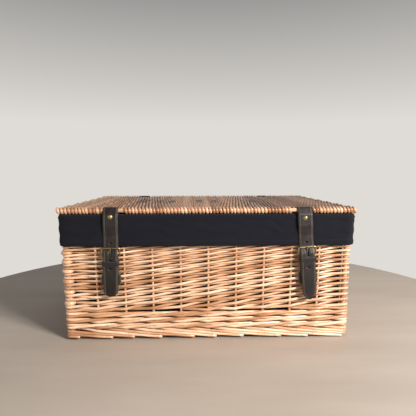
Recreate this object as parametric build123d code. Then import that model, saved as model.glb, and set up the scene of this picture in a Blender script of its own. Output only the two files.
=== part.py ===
from build123d import *
import math
import os

# Lidded willow basket. Millimetres, +Z up, front towards -Y, +X to the right when seen from the
# front. The origin is the centre of the bounding box at floor level.

# ---------------------------------------------------------------- driving sizes
height = 233.0
lid_width = 510.0
lid_depth = 360.0
foot_width = 495.0
foot_depth = 345.0
rim_width = 507.0
rim_depth = 357.0

wall = 13.0  # thickness of the woven walls
foot_height = 11.9
wale_top = 50.0
border_height = 12.0
corner_radius = 14.0
least_radius = 1.0  # sharpest corner of anything inside the walls
foot_thickness = 18.0
wale_step = 8.8  # thickness of the wale beside the floor, which stands in under the walls
base_inset = 9.6  # edge of the floor, in from the basket's outer face

lid_stick = 7.0  # the thick rods at the front and back edges of the lid
roll = 12.0  # such a rod with the weavers wrapped round it
lid_thickness = 10.0
lid_inner_stick = 5.0
lid_inner_sticks = 11
base_stick = 8.0
base_roll = 14.0
base_thickness = 11.0
base_inner_stick = 6.0
base_inner_sticks = 7

stake = 4.0
post = 8.5
post_inset = 9.8
front_stakes = 9
side_stakes = 6
stake_low = 4.0
stake_cover = 5.0  # border above the heads of the stakes

cloth = 1.2
cloth_gap = 0.3
lid_gap = 0.4  # between the closed lid and the cloth on the rim
cuff_drop = 53.4  # how far the cloth hangs down outside
liner_inset = 14.6  # outer face of the liner bag, in from the basket's outer face
liner_radius = 5.0

leather = 2.0
chape_leather = 2.2
keeper_leather = 1.4
strap_width = 25.0
strap_spacing = 328.5  # between the two straps, at the lid's edge
strap_lean = {"left": -0.65, "right": 4.65}  # degrees away from plumb, positive to the right
loop_inner = 4.0  # inner radius of the strap's fold round the lid's front stick
tail_tip = {"left": 146.0, "right": 155.0}  # from the stick's axis down to the strap's tip
strap_rivet_drop = {"left": 9.8, "right": 12.5}

hinge_spacing = 300.0
hinge_width = 25.0

wire = 2.8  # buckle frame
frame_inner = 27.0
frame_length = 13.9
frame_tilt = 14.5
frame_bend = 2.1
prong_wire = 1.8
pivot_drop = 76.0  # from the stick's axis down to the buckle's bar
keeper_height = 7.6
keeper_drop = {"left": 88.9, "right": 83.5}

rivet_head = 8.0
rivet_dome = 1.8
rivet_shank = 3.0
burr = 7.0
burr_thickness = 0.8

channel_gap = 0.05  # radial clearance of a rod in its channel
close_gap = 0.1  # between pieces that lie against each other
leather_gap = 0.3  # between a leather and what it lies on
over = 1.0  # how far a cutting solid reaches past what it cuts
far = 30.0  # reach of a cutting solid that goes right through

# ---------------------------------------------------------------- sizes that follow
axis_z = height - roll / 2
axis_y = lid_depth / 2 - roll / 2
cuff_top = height - roll - lid_gap
rim_z = cuff_top - cloth - cloth_gap
border_low = rim_z - border_height
cuff_hem = cuff_top - cuff_drop
base_z = foot_height + close_gap + base_roll / 2
base_top = base_z + base_roll / 2
stake_inset = wall / 2
stake_high = rim_z - stake_cover


def half_width(z):
    """Half the basket's outer width at height z."""
    return (foot_width + (rim_width - foot_width) * z / rim_z) / 2


def half_depth(z):
    """Half the basket's outer depth at height z."""
    return (foot_depth + (rim_depth - foot_depth) * z / rim_z) / 2


# The leather's path down the front of the basket, as distances out from the lid's stick.
cuff_out = half_depth(rim_z) + cloth_gap + cloth - axis_y
burr_gap = 0.5  # between a strap rivet's burr and the cloth
leg_inner_out = cuff_out + burr_thickness + burr_gap + leather / 2
leg_outer_out = leg_inner_out + leather + close_gap
wall_out = half_depth(axis_z - pivot_drop) - axis_y
chape_back_out = wall_out + leather_gap + chape_leather / 2
bar_out = chape_back_out + wire / 2 + close_gap + chape_leather / 2
chape_front_out = bar_out + wire / 2 + close_gap + chape_leather / 2
strap_over_bar = chape_front_out + chape_leather / 2 + leather_gap + leather / 2
keeper_gap = 0.4  # inside a keeper, before and behind the leathers
keeper_front_out = strap_over_bar + leather / 2 + keeper_gap + keeper_leather

# The basket's own middle is moved so that the bounding box is centred on the origin.
front_reach = axis_y + keeper_front_out
back_reach = axis_y + leg_outer_out + leather / 2 + rivet_dome
shift_y = (front_reach - back_reach) / 2


# ---------------------------------------------------------------- helpers
def block(inset, low, high, radius=corner_radius):
    """Solid between two heights whose sides stand inset from the sloping outer face."""
    rounding = max(radius - inset, least_radius)
    faces = []
    for z in (low, high):
        width = 2 * (half_width(z) - inset)
        depth = 2 * (half_depth(z) - inset)
        faces.append(Plane.XY.offset(z) * RectangleRounded(width, depth, rounding))
    return loft(Sketch() + faces, ruled=True)


def ring(outer_inset, inner_inset, low, high):
    """Band round the basket between two heights and two insets."""
    return block(outer_inset, low, high) - block(inner_inset, low - over, high + over)


def rod(start, end, diameter):
    """Straight round rod between two points."""
    line = Vector(*end) - Vector(*start)
    plane = Plane(origin=start, z_dir=line)
    return extrude(plane * Circle(diameter / 2), line.length)


def cross_rod(x_low, x_high, y, z, diameter):
    """Round rod that runs left to right."""
    return rod((x_low, y, z), (x_high, y, z), diameter)


def save(solids, name):
    """Writes one node, moved so that the bounding box is centred."""
    if not isinstance(solids, (list, tuple)):
        solids = [solids]
    placed = [Pos(0, shift_y, 0) * solid for solid in solids]
    shape = placed[0] if len(placed) == 1 else Compound(children=placed)
    export_step(shape, os.path.join("parts", name + ".step"))


# ---------------------------------------------------------------- basket
def stake_line(side, position):
    """Foot and head of one upright stake, at a position from -1 to 1 along its side."""
    ends = []
    for z in (stake_low, stake_high):
        across = half_width(z) - post_inset
        along = half_depth(z) - post_inset
        if side in ("front", "back"):
            sign = -1 if side == "front" else 1
            ends.append((position * across, sign * (half_depth(z) - stake_inset), z))
        else:
            sign = -1 if side == "left" else 1
            ends.append((sign * (half_width(z) - stake_inset), position * along, z))
    return ends


def stake_positions(count):
    """Evenly spaced positions between two corner posts."""
    return [2 * (i + 1) / (count + 1) - 1 for i in range(count)]


def stakes(side, extra=0.0):
    """All stakes of one side, as separate rods."""
    count = front_stakes if side in ("front", "back") else side_stakes
    lines = [stake_line(side, position) for position in stake_positions(count)]
    return [rod(low, high, stake + extra) for low, high in lines]


def corner_post(x_sign, y_sign, extra=0.0):
    """One corner post."""
    ends = []
    for z in (stake_low, stake_high):
        x = x_sign * (half_width(z) - post_inset)
        y = y_sign * (half_depth(z) - post_inset)
        ends.append((x, y, z))
    return rod(ends[0], ends[1], post + extra)


corners = {
    "front_left": (-1, -1),
    "front_right": (1, -1),
    "back_left": (-1, 1),
    "back_right": (1, 1),
}
sides = ("front", "back", "left", "right")
upright_channels = []
for side_name in sides:
    upright_channels += stakes(side_name, 2 * channel_gap)
for x_side, y_side in corners.values():
    upright_channels.append(corner_post(x_side, y_side, 2 * channel_gap))


def side_wedge(side, low, high):
    """Prism that holds one side of the walls, mitred through the corner posts."""
    post_x = half_width((low + high) / 2) - post_inset
    post_y = half_depth((low + high) / 2) - post_inset
    spread = 40.0
    outline = [
        (-post_x + spread, -post_y + spread),
        (-post_x - spread, -post_y - spread),
        (post_x + spread, -post_y - spread),
        (post_x - spread, -post_y + spread),
    ]
    if side in ("left", "right"):
        outline = [
            (-post_x + spread, -post_y + spread),
            (-post_x - spread, -post_y - spread),
            (-post_x - spread, post_y + spread),
            (-post_x + spread, post_y - spread),
        ]
    turn = 180 if side in ("back", "right") else 0
    face = Plane.XY.offset(low) * (Rot(0, 0, turn) * make_face(Polyline(*outline, close=True)))
    return extrude(face, high - low)


def woven_panel(half_x, half_y, z, roll_size, thickness, edge_stick, inner_stick, inner_count):
    """Flat weave wrapped round a front and a back stick, with channels for all its sticks."""
    edge_y = half_y - roll_size / 2
    panel = Pos(0, 0, z) * Box(2 * half_x, 2 * edge_y, thickness)
    for y in (-edge_y, edge_y):
        panel += cross_rod(-half_x, half_x, y, z, roll_size)
        panel -= cross_rod(-half_x - over, half_x + over, y, z, edge_stick + 2 * channel_gap)
    for y in inner_rows(edge_y, inner_count):
        panel -= cross_rod(-half_x - over, half_x + over, y, z, inner_stick + 2 * channel_gap)
    return panel


def inner_rows(edge_y, count):
    """Evenly spaced places of the inner sticks between the two edge sticks."""
    return [edge_y * (2 * (i + 1) / (count + 1) - 1) for i in range(count)]


base_half_x = half_width(base_z) - base_inset
base_half_y = half_depth(base_z) - base_inset


def base_weave():
    """The basket's floor, notched round the corner posts."""
    panel = woven_panel(
        base_half_x,
        base_half_y,
        base_z,
        base_roll,
        base_thickness,
        base_stick,
        base_inner_stick,
        base_inner_sticks,
    )
    for x_sign, y_sign in corners.values():
        panel -= corner_post(x_sign, y_sign, 2 * channel_gap)
    return panel


def base_sticks():
    """The floor's two thick edge sticks, which stop short of the posts, and its inner sticks."""
    edge_y = base_half_y - base_roll / 2
    edge_x = base_half_x - post
    rods = [cross_rod(-edge_x, edge_x, y, base_z, base_stick) for y in (-edge_y, edge_y)]
    inner_x = base_half_x - 1.0
    for y in inner_rows(edge_y, base_inner_sticks):
        rods.append(cross_rod(-inner_x, inner_x, y, base_z, base_inner_stick))
    return rods


def without_uprights(solid):
    """Takes the stakes' and posts' channels out of a band or wall."""
    for channel in upright_channels:
        solid -= channel
    return solid


def foot_border():
    """Band round the bottom, on which the basket stands."""
    return without_uprights(ring(0, foot_thickness, 0, foot_height))


def upset_wale():
    """Thick rods round the foot of the stakes, stepped inside to clear the floor's edge."""
    step = base_top + 2 * close_gap
    lower = ring(0, wale_step, foot_height + close_gap, step)
    upper = ring(0, wall, step, wale_top)
    return without_uprights(lower + upper)


def top_border():
    """Rod border at the rim."""
    return without_uprights(ring(0, wall, border_low + close_gap, rim_z))


def side_weave(side):
    """One woven wall."""
    low = wale_top + close_gap
    panel = ring(0, wall, low, border_low) & side_wedge(side, low - over, border_low + over)
    return without_uprights(panel)


# ---------------------------------------------------------------- liner
def liner_bag():
    """The cloth bag inside the basket, open at the top."""
    low = base_top + cloth_gap
    rounding = liner_inset + liner_radius
    outside = block(liner_inset, low, rim_z + cloth_gap, rounding)
    inside = block(liner_inset + cloth, low + cloth, rim_z + over, rounding)
    return outside - inside


def liner_cuff():
    """The cloth over the rim and down the outside."""
    rounding = liner_inset + liner_radius
    outside = block(-cloth_gap - cloth, cuff_hem, cuff_top)
    under = block(-cloth_gap, cuff_hem - over, rim_z + cloth_gap)
    mouth = block(liner_inset + cloth, rim_z - over, cuff_top + over, rounding)
    cuff = outside - under - mouth
    top_edges = cuff.edges().group_by(Axis.Z)[-1]
    y_outer = half_depth(rim_z) - wall / 2
    x_outer = half_width(rim_z) - wall / 2
    outer = [edge for edge in top_edges if abs(edge.center().Y) > y_outer]
    outer += [edge for edge in top_edges if abs(edge.center().X) > x_outer]
    return fillet(list(dict.fromkeys(outer)), cloth * 0.7)


# ---------------------------------------------------------------- leather
def ribbon(paths, thickness, width):
    """Leather that follows lines in the Y-Z plane, end to end, centred on X = 0."""
    runs = [extrude(Plane.YZ * trace(path, thickness), width / 2, both=True) for path in paths]
    solid = runs[0]
    for run in runs[1:]:
        solid += run
    return solid


leg_meet = 6.5  # how far below the stick's axis the two legs of a fold come together
fold_turn = 1.6  # radius where the inner leg turns in under the stick


def folded_top(outer_out, inner_out, inner_end, circle_radius):
    """Path pieces of leather folded round a stick at the origin, out being -Y.

    The inner leg rises behind the outer one, passes under the stick and over its back, and
    leaves the circle on a straight line towards the outer leg.
    """
    corner = (-outer_out, -leg_meet)
    distance = math.hypot(outer_out, leg_meet)
    straight = math.sqrt(distance**2 - circle_radius**2)
    lean = math.atan2(straight, circle_radius) - math.atan2(leg_meet, outer_out)
    leaves = 180 - math.degrees(lean)
    under = FilletPolyline(
        (-inner_out, -inner_end),
        (-inner_out, -circle_radius),
        (0, -circle_radius),
        radius=fold_turn,
    )
    around = CenterArc((0, 0), circle_radius, -90, leaves + 90)
    start = around @ 1
    return under, around, (start.X, start.Y), corner


strap_inner_end = 24.0  # from the stick's axis down to the end of the strap's inner leg
strap_straight = 26.0  # down to where the outer leg bends in towards the buckle
strap_bent = 42.0  # down to where it is level with the back of the buckle's end bar
strap_bend = 4.0  # least radius of the strap's bends
tail_straight = 17.0  # from the buckle's bar down to where the tail begins to sink
tail_low = 30.0
tail_sinks = (1.0, 3.6)  # how far the tail has sunk at that place and at its tip
bar_z = -pivot_drop
frame_rise = frame_length * math.cos(math.radians(frame_tilt))
end_bar_out = bar_out + frame_length * math.sin(math.radians(frame_tilt))
behind_frame_gap = 1.1  # between the strap and the buckle's end bar
strap_behind_bar = end_bar_out - wire / 2 - behind_frame_gap - leather / 2


def strap_profile(side):
    """Path of a strap from its fold down to its tip."""
    under, around, start, corner = folded_top(
        leg_outer_out, leg_inner_out, strap_inner_end, loop_inner + leather / 2
    )
    hanging = FilletPolyline(
        start,
        corner,
        (-leg_outer_out, -strap_straight),
        (-strap_behind_bar, -strap_bent),
        (-strap_behind_bar, bar_z + frame_rise + wire / 2 + 0.6),
        (-strap_over_bar, bar_z + wire),
        (-strap_over_bar, bar_z - tail_straight),
        (-strap_over_bar + tail_sinks[0], bar_z - tail_low),
        (-strap_over_bar + tail_sinks[1], -tail_tip[side]),
        radius=strap_bend,
    )
    return under, around, hanging


hole_spacing = 14.4
hole_diameter = 3.0
hole_steps = (-1, 1, 2)  # round holes above and below the buckled one
prong_hole_drop = 68.8
prong_hole_length = 9.0
tip_length = 16.0  # over which the strap narrows to its point
tip_shoulder = 6.0
tip_shoulder_share = 0.72  # of the half width, at the shoulder
tip_rounding = 6.0


def hanging_strap(side):
    """One strap hanging plumb, with its pointed tip, rivet hole and buckle holes."""
    strap = ribbon(strap_profile(side), leather, strap_width)
    half = strap_width / 2
    shoulder = half * tip_shoulder_share
    tip = tail_tip[side]
    tip_outline = [
        (-half, far),
        (-half, -tip + tip_length),
        (-shoulder, -tip + tip_shoulder),
        (0, -tip),
        (shoulder, -tip + tip_shoulder),
        (half, -tip + tip_length),
        (half, far),
    ]
    tip_face = make_face(Polyline(*tip_outline, close=True))
    tip_face = fillet(tip_face.vertices().sort_by(Axis.Y)[:5], tip_rounding)
    strap = strap & extrude(Plane.XZ * tip_face, far, both=True)
    drop = strap_rivet_drop[side]
    strap -= rod((0, -far, -drop), (0, 0, -drop), rivet_shank + 2 * channel_gap)
    for step in hole_steps:
        z = -prong_hole_drop - step * hole_spacing
        strap -= rod((0, -far, z), (0, 0, z), hole_diameter)
    slot = Plane.XZ * (Pos(0, -prong_hole_drop) * SlotOverall(prong_hole_length, hole_diameter, 90))
    strap -= extrude(slot, far, both=True)
    return strap


def strap_solid(side):
    """One strap, whose part below the rivet leans sideways in its own plane."""
    strap = hanging_strap(side)
    reach = 400.0  # larger than any strap
    drop = strap_rivet_drop[side]
    upper_middle = -drop - over + reach / 2
    lower_middle = -drop + over - reach / 2
    upper = strap & (Pos(0, 0, upper_middle) * Box(reach, reach, reach))
    lower = strap & (Pos(0, 0, lower_middle) * Box(reach, reach, reach))
    return at_stick(side) * upper + at_strap(side) * lower


def rivet(out_outside, out_inside, drop):
    """Domed rivet along Y at X = 0, from its head outside to its burr inside."""
    radius = (rivet_head**2 / 4 + rivet_dome**2) / (2 * rivet_dome)
    ball = Pos(0, -out_outside - rivet_dome + radius, -drop) * Sphere(radius)
    cap = Box(2 * rivet_head, rivet_dome, 2 * rivet_head)
    head = ball & (Pos(0, -out_outside - rivet_dome / 2, -drop) * cap)
    shank = rod((0, -out_outside, -drop), (0, -out_inside, -drop), rivet_shank)
    washer = rod((0, -out_inside, -drop), (0, -out_inside + burr_thickness, -drop), burr)
    return head + shank + washer


chape_turn_z = bar_z - 16.0  # where the front leg starts back towards the wall
chape_sunk_z = bar_z - 24.0  # where it lies on the back leg
chape_front_end = bar_z - 35.0
chape_end = bar_z - 54.0
chape_rivet_drops = (-bar_z + 29.5, -bar_z + 44.0)
chape_front_low_out = chape_back_out + chape_leather + close_gap
chape_bend = 3.0
foot_flare = 4.0  # how much wider the foot is, on each side
foot_shoulder = 16.0
foot_share = 0.8  # of the foot's half width, along its bottom edge
foot_rounding = 9.0
prong_slot = 4.8
slot_reach = (9.0, 10.0)  # of the prong's slot, below and above the bar


def chape_solid():
    """Leather folded round the buckle's bar, with a broad rounded foot."""
    front = FilletPolyline(
        (-chape_front_out, bar_z),
        (-chape_front_out, chape_turn_z),
        (-chape_front_low_out, chape_sunk_z),
        (-chape_front_low_out, chape_front_end),
        radius=chape_bend,
    )
    fold = CenterArc((-bar_out, bar_z), bar_out - chape_back_out, 0, 180)
    back = Line((-chape_back_out, bar_z), (-chape_back_out, chape_end))
    chape = ribbon((front, fold, back), chape_leather, 2 * strap_width)
    half = strap_width / 2
    foot_half = half + foot_flare
    outline = [
        (-half, bar_z + far),
        (-half, chape_sunk_z),
        (-foot_half, chape_end + foot_shoulder),
        (-foot_half * foot_share, chape_end),
        (foot_half * foot_share, chape_end),
        (foot_half, chape_end + foot_shoulder),
        (half, chape_sunk_z),
        (half, bar_z + far),
    ]
    face = make_face(Polyline(*outline, close=True))
    face = fillet(face.vertices().sort_by(Axis.Y)[:2], foot_rounding)
    chape = chape & extrude(Plane.XZ * face, far, both=True)
    slot_low = bar_z - slot_reach[0]
    slot_high = bar_z + slot_reach[1]
    middle = (slot_low + slot_high) / 2
    chape -= Pos(0, -bar_out, middle) * Box(prong_slot, far, slot_high - slot_low)
    for drop in chape_rivet_drops:
        chape -= rod((0, -far, -drop), (0, far, -drop), rivet_shank + 2 * channel_gap)
    return chape


keeper_side_gap = 0.4
keeper_rounding = 1.2


def keeper_solid(side):
    """Leather loop round the strap's tail and the chape's front leg."""
    inner_back = chape_back_out + chape_leather / 2 + keeper_gap + keeper_leather
    inner_front = keeper_front_out - keeper_leather
    width = strap_width + 2 * keeper_side_gap
    depth = inner_front - inner_back
    around = 2 * keeper_leather
    body = Box(width + around, depth + around, keeper_height)
    body = fillet(body.edges().filter_by(Axis.Z), keeper_rounding)
    loop = body - Box(width, depth, keeper_height + over)
    return Pos(0, -(inner_front + inner_back) / 2, -keeper_drop[side]) * loop


def buckle_frame():
    """Wire frame round the bar, leaning out over the strap."""
    half = frame_inner / 2 + wire / 2
    corners_of_wire = [(-half, 0), (half, 0), (half, frame_length), (-half, frame_length)]
    path = FilletPolyline(*corners_of_wire, radius=frame_bend, close=True)
    tilted = Plane(
        origin=(0, -bar_out, bar_z),
        x_dir=(1, 0, 0),
        z_dir=(0, -math.cos(math.radians(frame_tilt)), -math.sin(math.radians(frame_tilt))),
    )
    wire_path = tilted * path
    start = wire_path @ 0
    section = Plane(origin=start, z_dir=wire_path % 0) * Circle(wire / 2)
    return sweep(section, wire_path)


eye_thickness = 1.5
eye_width = 4.0
prong_rise = 0.6  # between the prong's tip and the buckle's end bar
prong_past = 0.8  # how far the tip reaches past the end bar's axis
prong_sunk = 0.6  # how deep the prong's root sits in its eye
prong_root_z = 1.2


def buckle_prong():
    """Wire prong with an eye round the bar and its tip before the frame's end."""
    eye_inner = wire / 2 + close_gap
    eye_outer = eye_inner + eye_thickness
    eye_plane = Plane(origin=(-eye_width / 2, -bar_out, bar_z), z_dir=(1, 0, 0))
    eye = extrude(eye_plane * (Circle(eye_outer) - Circle(eye_inner)), eye_width)
    tip_out = end_bar_out + wire / 2 + prong_rise + prong_wire / 2
    start = (0, -bar_out - eye_outer + prong_sunk, bar_z + prong_root_z)
    tip = (0, -tip_out, bar_z + frame_rise + prong_past)
    shank = rod(start, tip, prong_wire)
    end = Pos(*tip) * Sphere(prong_wire / 2)
    bar_space = cross_rod(-eye_width, eye_width, -bar_out, bar_z, 2 * eye_inner)
    return eye + (shank + end - bar_space)


hinge_rivet_drops = (25.0, 37.0)
hinge_end = 44.0  # from the stick's axis down to the ends of the hinge leather


def hinge_loop():
    """Leather folded round the lid's back stick and riveted down the back, out being -Y."""
    circle = lid_stick / 2 + leather_gap + leather / 2
    under, around, start, corner = folded_top(leg_outer_out, leg_inner_out, hinge_end, circle)
    outer = FilletPolyline(start, corner, (-leg_outer_out, -hinge_end), radius=strap_bend)
    loop = ribbon((under, around, outer), leather, hinge_width)
    for drop in hinge_rivet_drops:
        loop -= rod((0, -far, -drop), (0, 0, -drop), rivet_shank + 2 * channel_gap)
    return loop


def at_stick(side):
    """Place of a strap's own frame: the front stick's axis at the strap's middle."""
    sign = -1 if side == "left" else 1
    return Pos(sign * strap_spacing / 2, -axis_y, axis_z)


def at_strap(side):
    """The same frame turned sideways about the strap's rivet, for all that leans with it."""
    drop = strap_rivet_drop[side]
    turned = Rot(0, -strap_lean[side], 0)
    return at_stick(side) * Pos(0, 0, -drop) * turned * Pos(0, 0, drop)


def at_hinge(side):
    """Place of a hinge's own frame on the back stick, turned so that out is +Y."""
    sign = -1 if side == "left" else 1
    return Pos(sign * hinge_spacing / 2, axis_y, axis_z) * Rot(0, 0, 180)


# ---------------------------------------------------------------- lid
gap_margin = 2.0  # on each side of a strap or hinge
bare_stick = 9.0  # extra unwrapped length towards the middle beside each strap
notch = 14.0  # from the edge sticks' axes inwards
stick_set_back = 2.0  # ends of the lid's sticks, in from the ends of its weave


def lid_weave():
    """The lid's weave, open where the straps and hinges go round its edge sticks."""
    panel = woven_panel(
        lid_width / 2,
        lid_depth / 2,
        axis_z,
        roll,
        lid_thickness,
        lid_stick,
        lid_inner_stick,
        lid_inner_sticks,
    )
    depth = roll / 2 + notch
    y = lid_depth / 2 - depth / 2
    strap_gap = Box(strap_width + 2 * gap_margin + bare_stick, depth, roll + over)
    hinge_gap = Box(hinge_width + 2 * gap_margin, depth, roll + over)
    for sign in (-1, 1):
        panel -= Pos(sign * (strap_spacing / 2 - bare_stick / 2), -y, axis_z) * strap_gap
        panel -= Pos(sign * hinge_spacing / 2, y, axis_z) * hinge_gap
    return panel


def edge_stick(y):
    """One of the lid's thick edge sticks."""
    length = lid_width / 2 - stick_set_back
    return cross_rod(-length, length, y, axis_z, lid_stick)


def lid_sticks():
    """The lid's inner sticks."""
    length = lid_width / 2 - stick_set_back
    rows = inner_rows(axis_y, lid_inner_sticks)
    return [cross_rod(-length, length, y, axis_z, lid_inner_stick) for y in rows]


# ---------------------------------------------------------------- rivets through the walls
def wall_rivet(out_outside, drop):
    """Rivet from outside the leather to its burr on the wall's inner face."""
    inside = half_depth(axis_z - drop) - wall - axis_y
    return rivet(out_outside, inside - close_gap, drop)


def chape_rivets(side):
    """The two rivets that hold one chape on the front wall."""
    outsides = (
        chape_front_low_out + chape_leather / 2,
        chape_back_out + chape_leather / 2,
    )
    pairs = zip(outsides, chape_rivet_drops)
    return [at_strap(side) * wall_rivet(out, drop) for out, drop in pairs]


def hinge_rivets(side):
    """The two rivets that hold one hinge loop on the back wall."""
    out = leg_outer_out + leather / 2
    return [at_hinge(side) * wall_rivet(out, drop) for drop in hinge_rivet_drops]


def wall_channels(place, drops, y_sign):
    """Channels that the rivets of one leather need through cloth and wall."""
    channels = []
    for drop in drops:
        centre = (place * Pos(0, 0, -drop)).position
        inside = centre.Y - y_sign * far
        outside = centre.Y + y_sign * far
        ends = (centre.X, inside, centre.Z), (centre.X, outside, centre.Z)
        channels.append(rod(*ends, rivet_shank + 2 * channel_gap))
    return channels


def main():
    os.makedirs("parts", exist_ok=True)

    save(foot_border(), "foot_border")
    save(base_sticks(), "base_sticks")
    save(base_weave(), "base_weave")
    save(upset_wale(), "upset_wale")
    save(top_border(), "top_border")
    for name, (x_sign, y_sign) in corners.items():
        save(corner_post(x_sign, y_sign), "corner_post_" + name)

    weaves = {side: side_weave(side) for side in sides}
    cuff = liner_cuff()
    for side in ("left", "right"):
        for channel in wall_channels(at_strap(side), chape_rivet_drops, -1):
            weaves["front"] -= channel
        for channel in wall_channels(at_hinge(side), hinge_rivet_drops, 1):
            weaves["back"] -= channel
            cuff -= channel
    for side in sides:
        save(stakes(side), "stakes_" + side)
        save(weaves[side], "weave_" + side)
    save(liner_bag(), "liner_bag")
    save(cuff, "liner_cuff")

    save(edge_stick(-axis_y), "lid_front_stick")
    save(edge_stick(axis_y), "lid_back_stick")
    save(lid_sticks(), "lid_inner_sticks")
    save(lid_weave(), "lid_weave")

    strap_rivet_out = leg_outer_out + leather / 2
    strap_burr_out = leg_inner_out - leather / 2
    for side in ("left", "right"):
        place = at_strap(side)
        save(strap_solid(side), "strap_" + side)
        save(
            place * rivet(strap_rivet_out, strap_burr_out, strap_rivet_drop[side]),
            "strap_rivet_" + side,
        )
        save(place * chape_solid(), "chape_" + side)
        save(place * keeper_solid(side), "keeper_" + side)
        save(place * buckle_frame(), "buckle_frame_" + side)
        save(place * buckle_prong(), "buckle_prong_" + side)
        save(at_hinge(side) * hinge_loop(), "hinge_loop_" + side)
    save(chape_rivets("left") + chape_rivets("right"), "chape_rivets")
    save(hinge_rivets("left") + hinge_rivets("right"), "hinge_rivets")


main()
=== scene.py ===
import math
import random

import bmesh
import bpy
import numpy as np
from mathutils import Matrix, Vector


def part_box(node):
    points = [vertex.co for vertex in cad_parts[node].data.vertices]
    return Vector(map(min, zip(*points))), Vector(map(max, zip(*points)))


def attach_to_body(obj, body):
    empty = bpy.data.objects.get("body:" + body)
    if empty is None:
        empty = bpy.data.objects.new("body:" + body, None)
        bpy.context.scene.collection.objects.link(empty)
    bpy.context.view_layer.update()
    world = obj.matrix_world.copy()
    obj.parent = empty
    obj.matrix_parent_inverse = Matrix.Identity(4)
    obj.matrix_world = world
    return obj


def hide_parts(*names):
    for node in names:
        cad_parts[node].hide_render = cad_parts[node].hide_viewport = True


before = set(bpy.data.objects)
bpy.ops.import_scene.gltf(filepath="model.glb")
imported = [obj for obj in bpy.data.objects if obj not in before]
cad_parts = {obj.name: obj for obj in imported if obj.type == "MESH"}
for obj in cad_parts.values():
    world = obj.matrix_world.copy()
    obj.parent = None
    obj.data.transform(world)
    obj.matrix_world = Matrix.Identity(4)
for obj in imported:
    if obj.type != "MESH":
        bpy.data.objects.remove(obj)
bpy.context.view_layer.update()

# Looks of the lidded willow basket. Sizes are in millimetres and are turned into metres when a mesh
# is made. Front is -Y, and +X is to the right when seen from the front.

MM = 0.001
PER_METRE = (1000.0, 1000.0, 1000.0)


def box_mm(node):
    """Lowest and highest corner of a CAD node, in millimetres."""
    low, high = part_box(node)
    return np.array(low) / MM, np.array(high) / MM


# ---- sizes from the frame
foot_low, foot_high = box_mm("foot_border")
rim_high = box_mm("top_border")[1]
wale_high_z = box_mm("upset_wale")[1][2]
weave_high_z = box_mm("weave_front")[1][2]
cuff_low, cuff_high = box_mm("liner_cuff")
bag_low, bag_high = box_mm("liner_bag")
lid_high = box_mm("lid_weave")[1]
front_stick_low, front_stick_high = box_mm("lid_front_stick")
back_stick_low, back_stick_high = box_mm("lid_back_stick")
base_stick_low, base_stick_high = box_mm("base_sticks")
base_high = box_mm("base_weave")[1]

middle_y = (foot_low[1] + foot_high[1]) / 2
stick_z = (front_stick_low[2] + front_stick_high[2]) / 2
front_axis_y = (front_stick_low[1] + front_stick_high[1]) / 2
back_axis_y = (back_stick_low[1] + back_stick_high[1]) / 2
stick_radius = (front_stick_high[2] - front_stick_low[2]) / 2
wall_slope = (rim_high[0] - foot_high[0]) / (rim_high[2] - foot_high[2])

STAKE = 4.0
POST = 8.5
STAKE_INSET = 6.5
POST_INSET = 9.8
FRONT_BAYS = 10
SIDE_BAYS = 7
UPRIGHTS = 2 * (FRONT_BAYS + SIDE_BAYS)
STRAP_X = 164.25
STRAP_WIDTH = 25.0
HINGE_X = 150.0


def half_width(z):
    """Half the basket's outer width at height z."""
    return foot_high[0] + wall_slope * (z - foot_high[2])


def half_depth(z):
    """Half the basket's outer depth at height z."""
    return (foot_high[1] - foot_low[1]) / 2 + wall_slope * (z - foot_high[2])


def soft(t):
    """Share from 0 to 1 with soft ends."""
    return (1 - math.cos(math.pi * t)) / 2


def unit(vectors):
    """Vectors of length 1."""
    return vectors / np.linalg.norm(vectors, axis=-1)[..., None]


def distances(path):
    """How far along a path each of its points is."""
    return np.concatenate(([0.0], np.cumsum(np.linalg.norm(np.diff(path, axis=0), axis=-1))))


def add_object(name, data):
    """New object in the scene."""
    made = bpy.data.objects.new(name, data)
    bpy.context.scene.collection.objects.link(made)
    return made


def add_mesh(name, points, faces):
    """New mesh from points in millimetres."""
    mesh = bpy.data.meshes.new(name)
    mesh.from_pydata((np.asarray(points).reshape(-1, 3) * MM).tolist(), [], faces)
    return mesh


def attach(mesh, name, values):
    """Gives each point of a mesh a number or a vector."""
    values = np.asarray(values).astype(np.float32)
    if values.ndim == 1:
        mesh.attributes.new(name, "FLOAT", "POINT").data.foreach_set("value", values)
    else:
        mesh.attributes.new(name, "FLOAT_VECTOR", "POINT").data.foreach_set("vector", values.ravel())


# ---- swept rods
END_SHRINK = 0.8  # a rod's cut end, against its thickness
END_BEVEL = 0.25
GRAIN_RUN = 5000  # length of willow that rods are cut from


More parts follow.
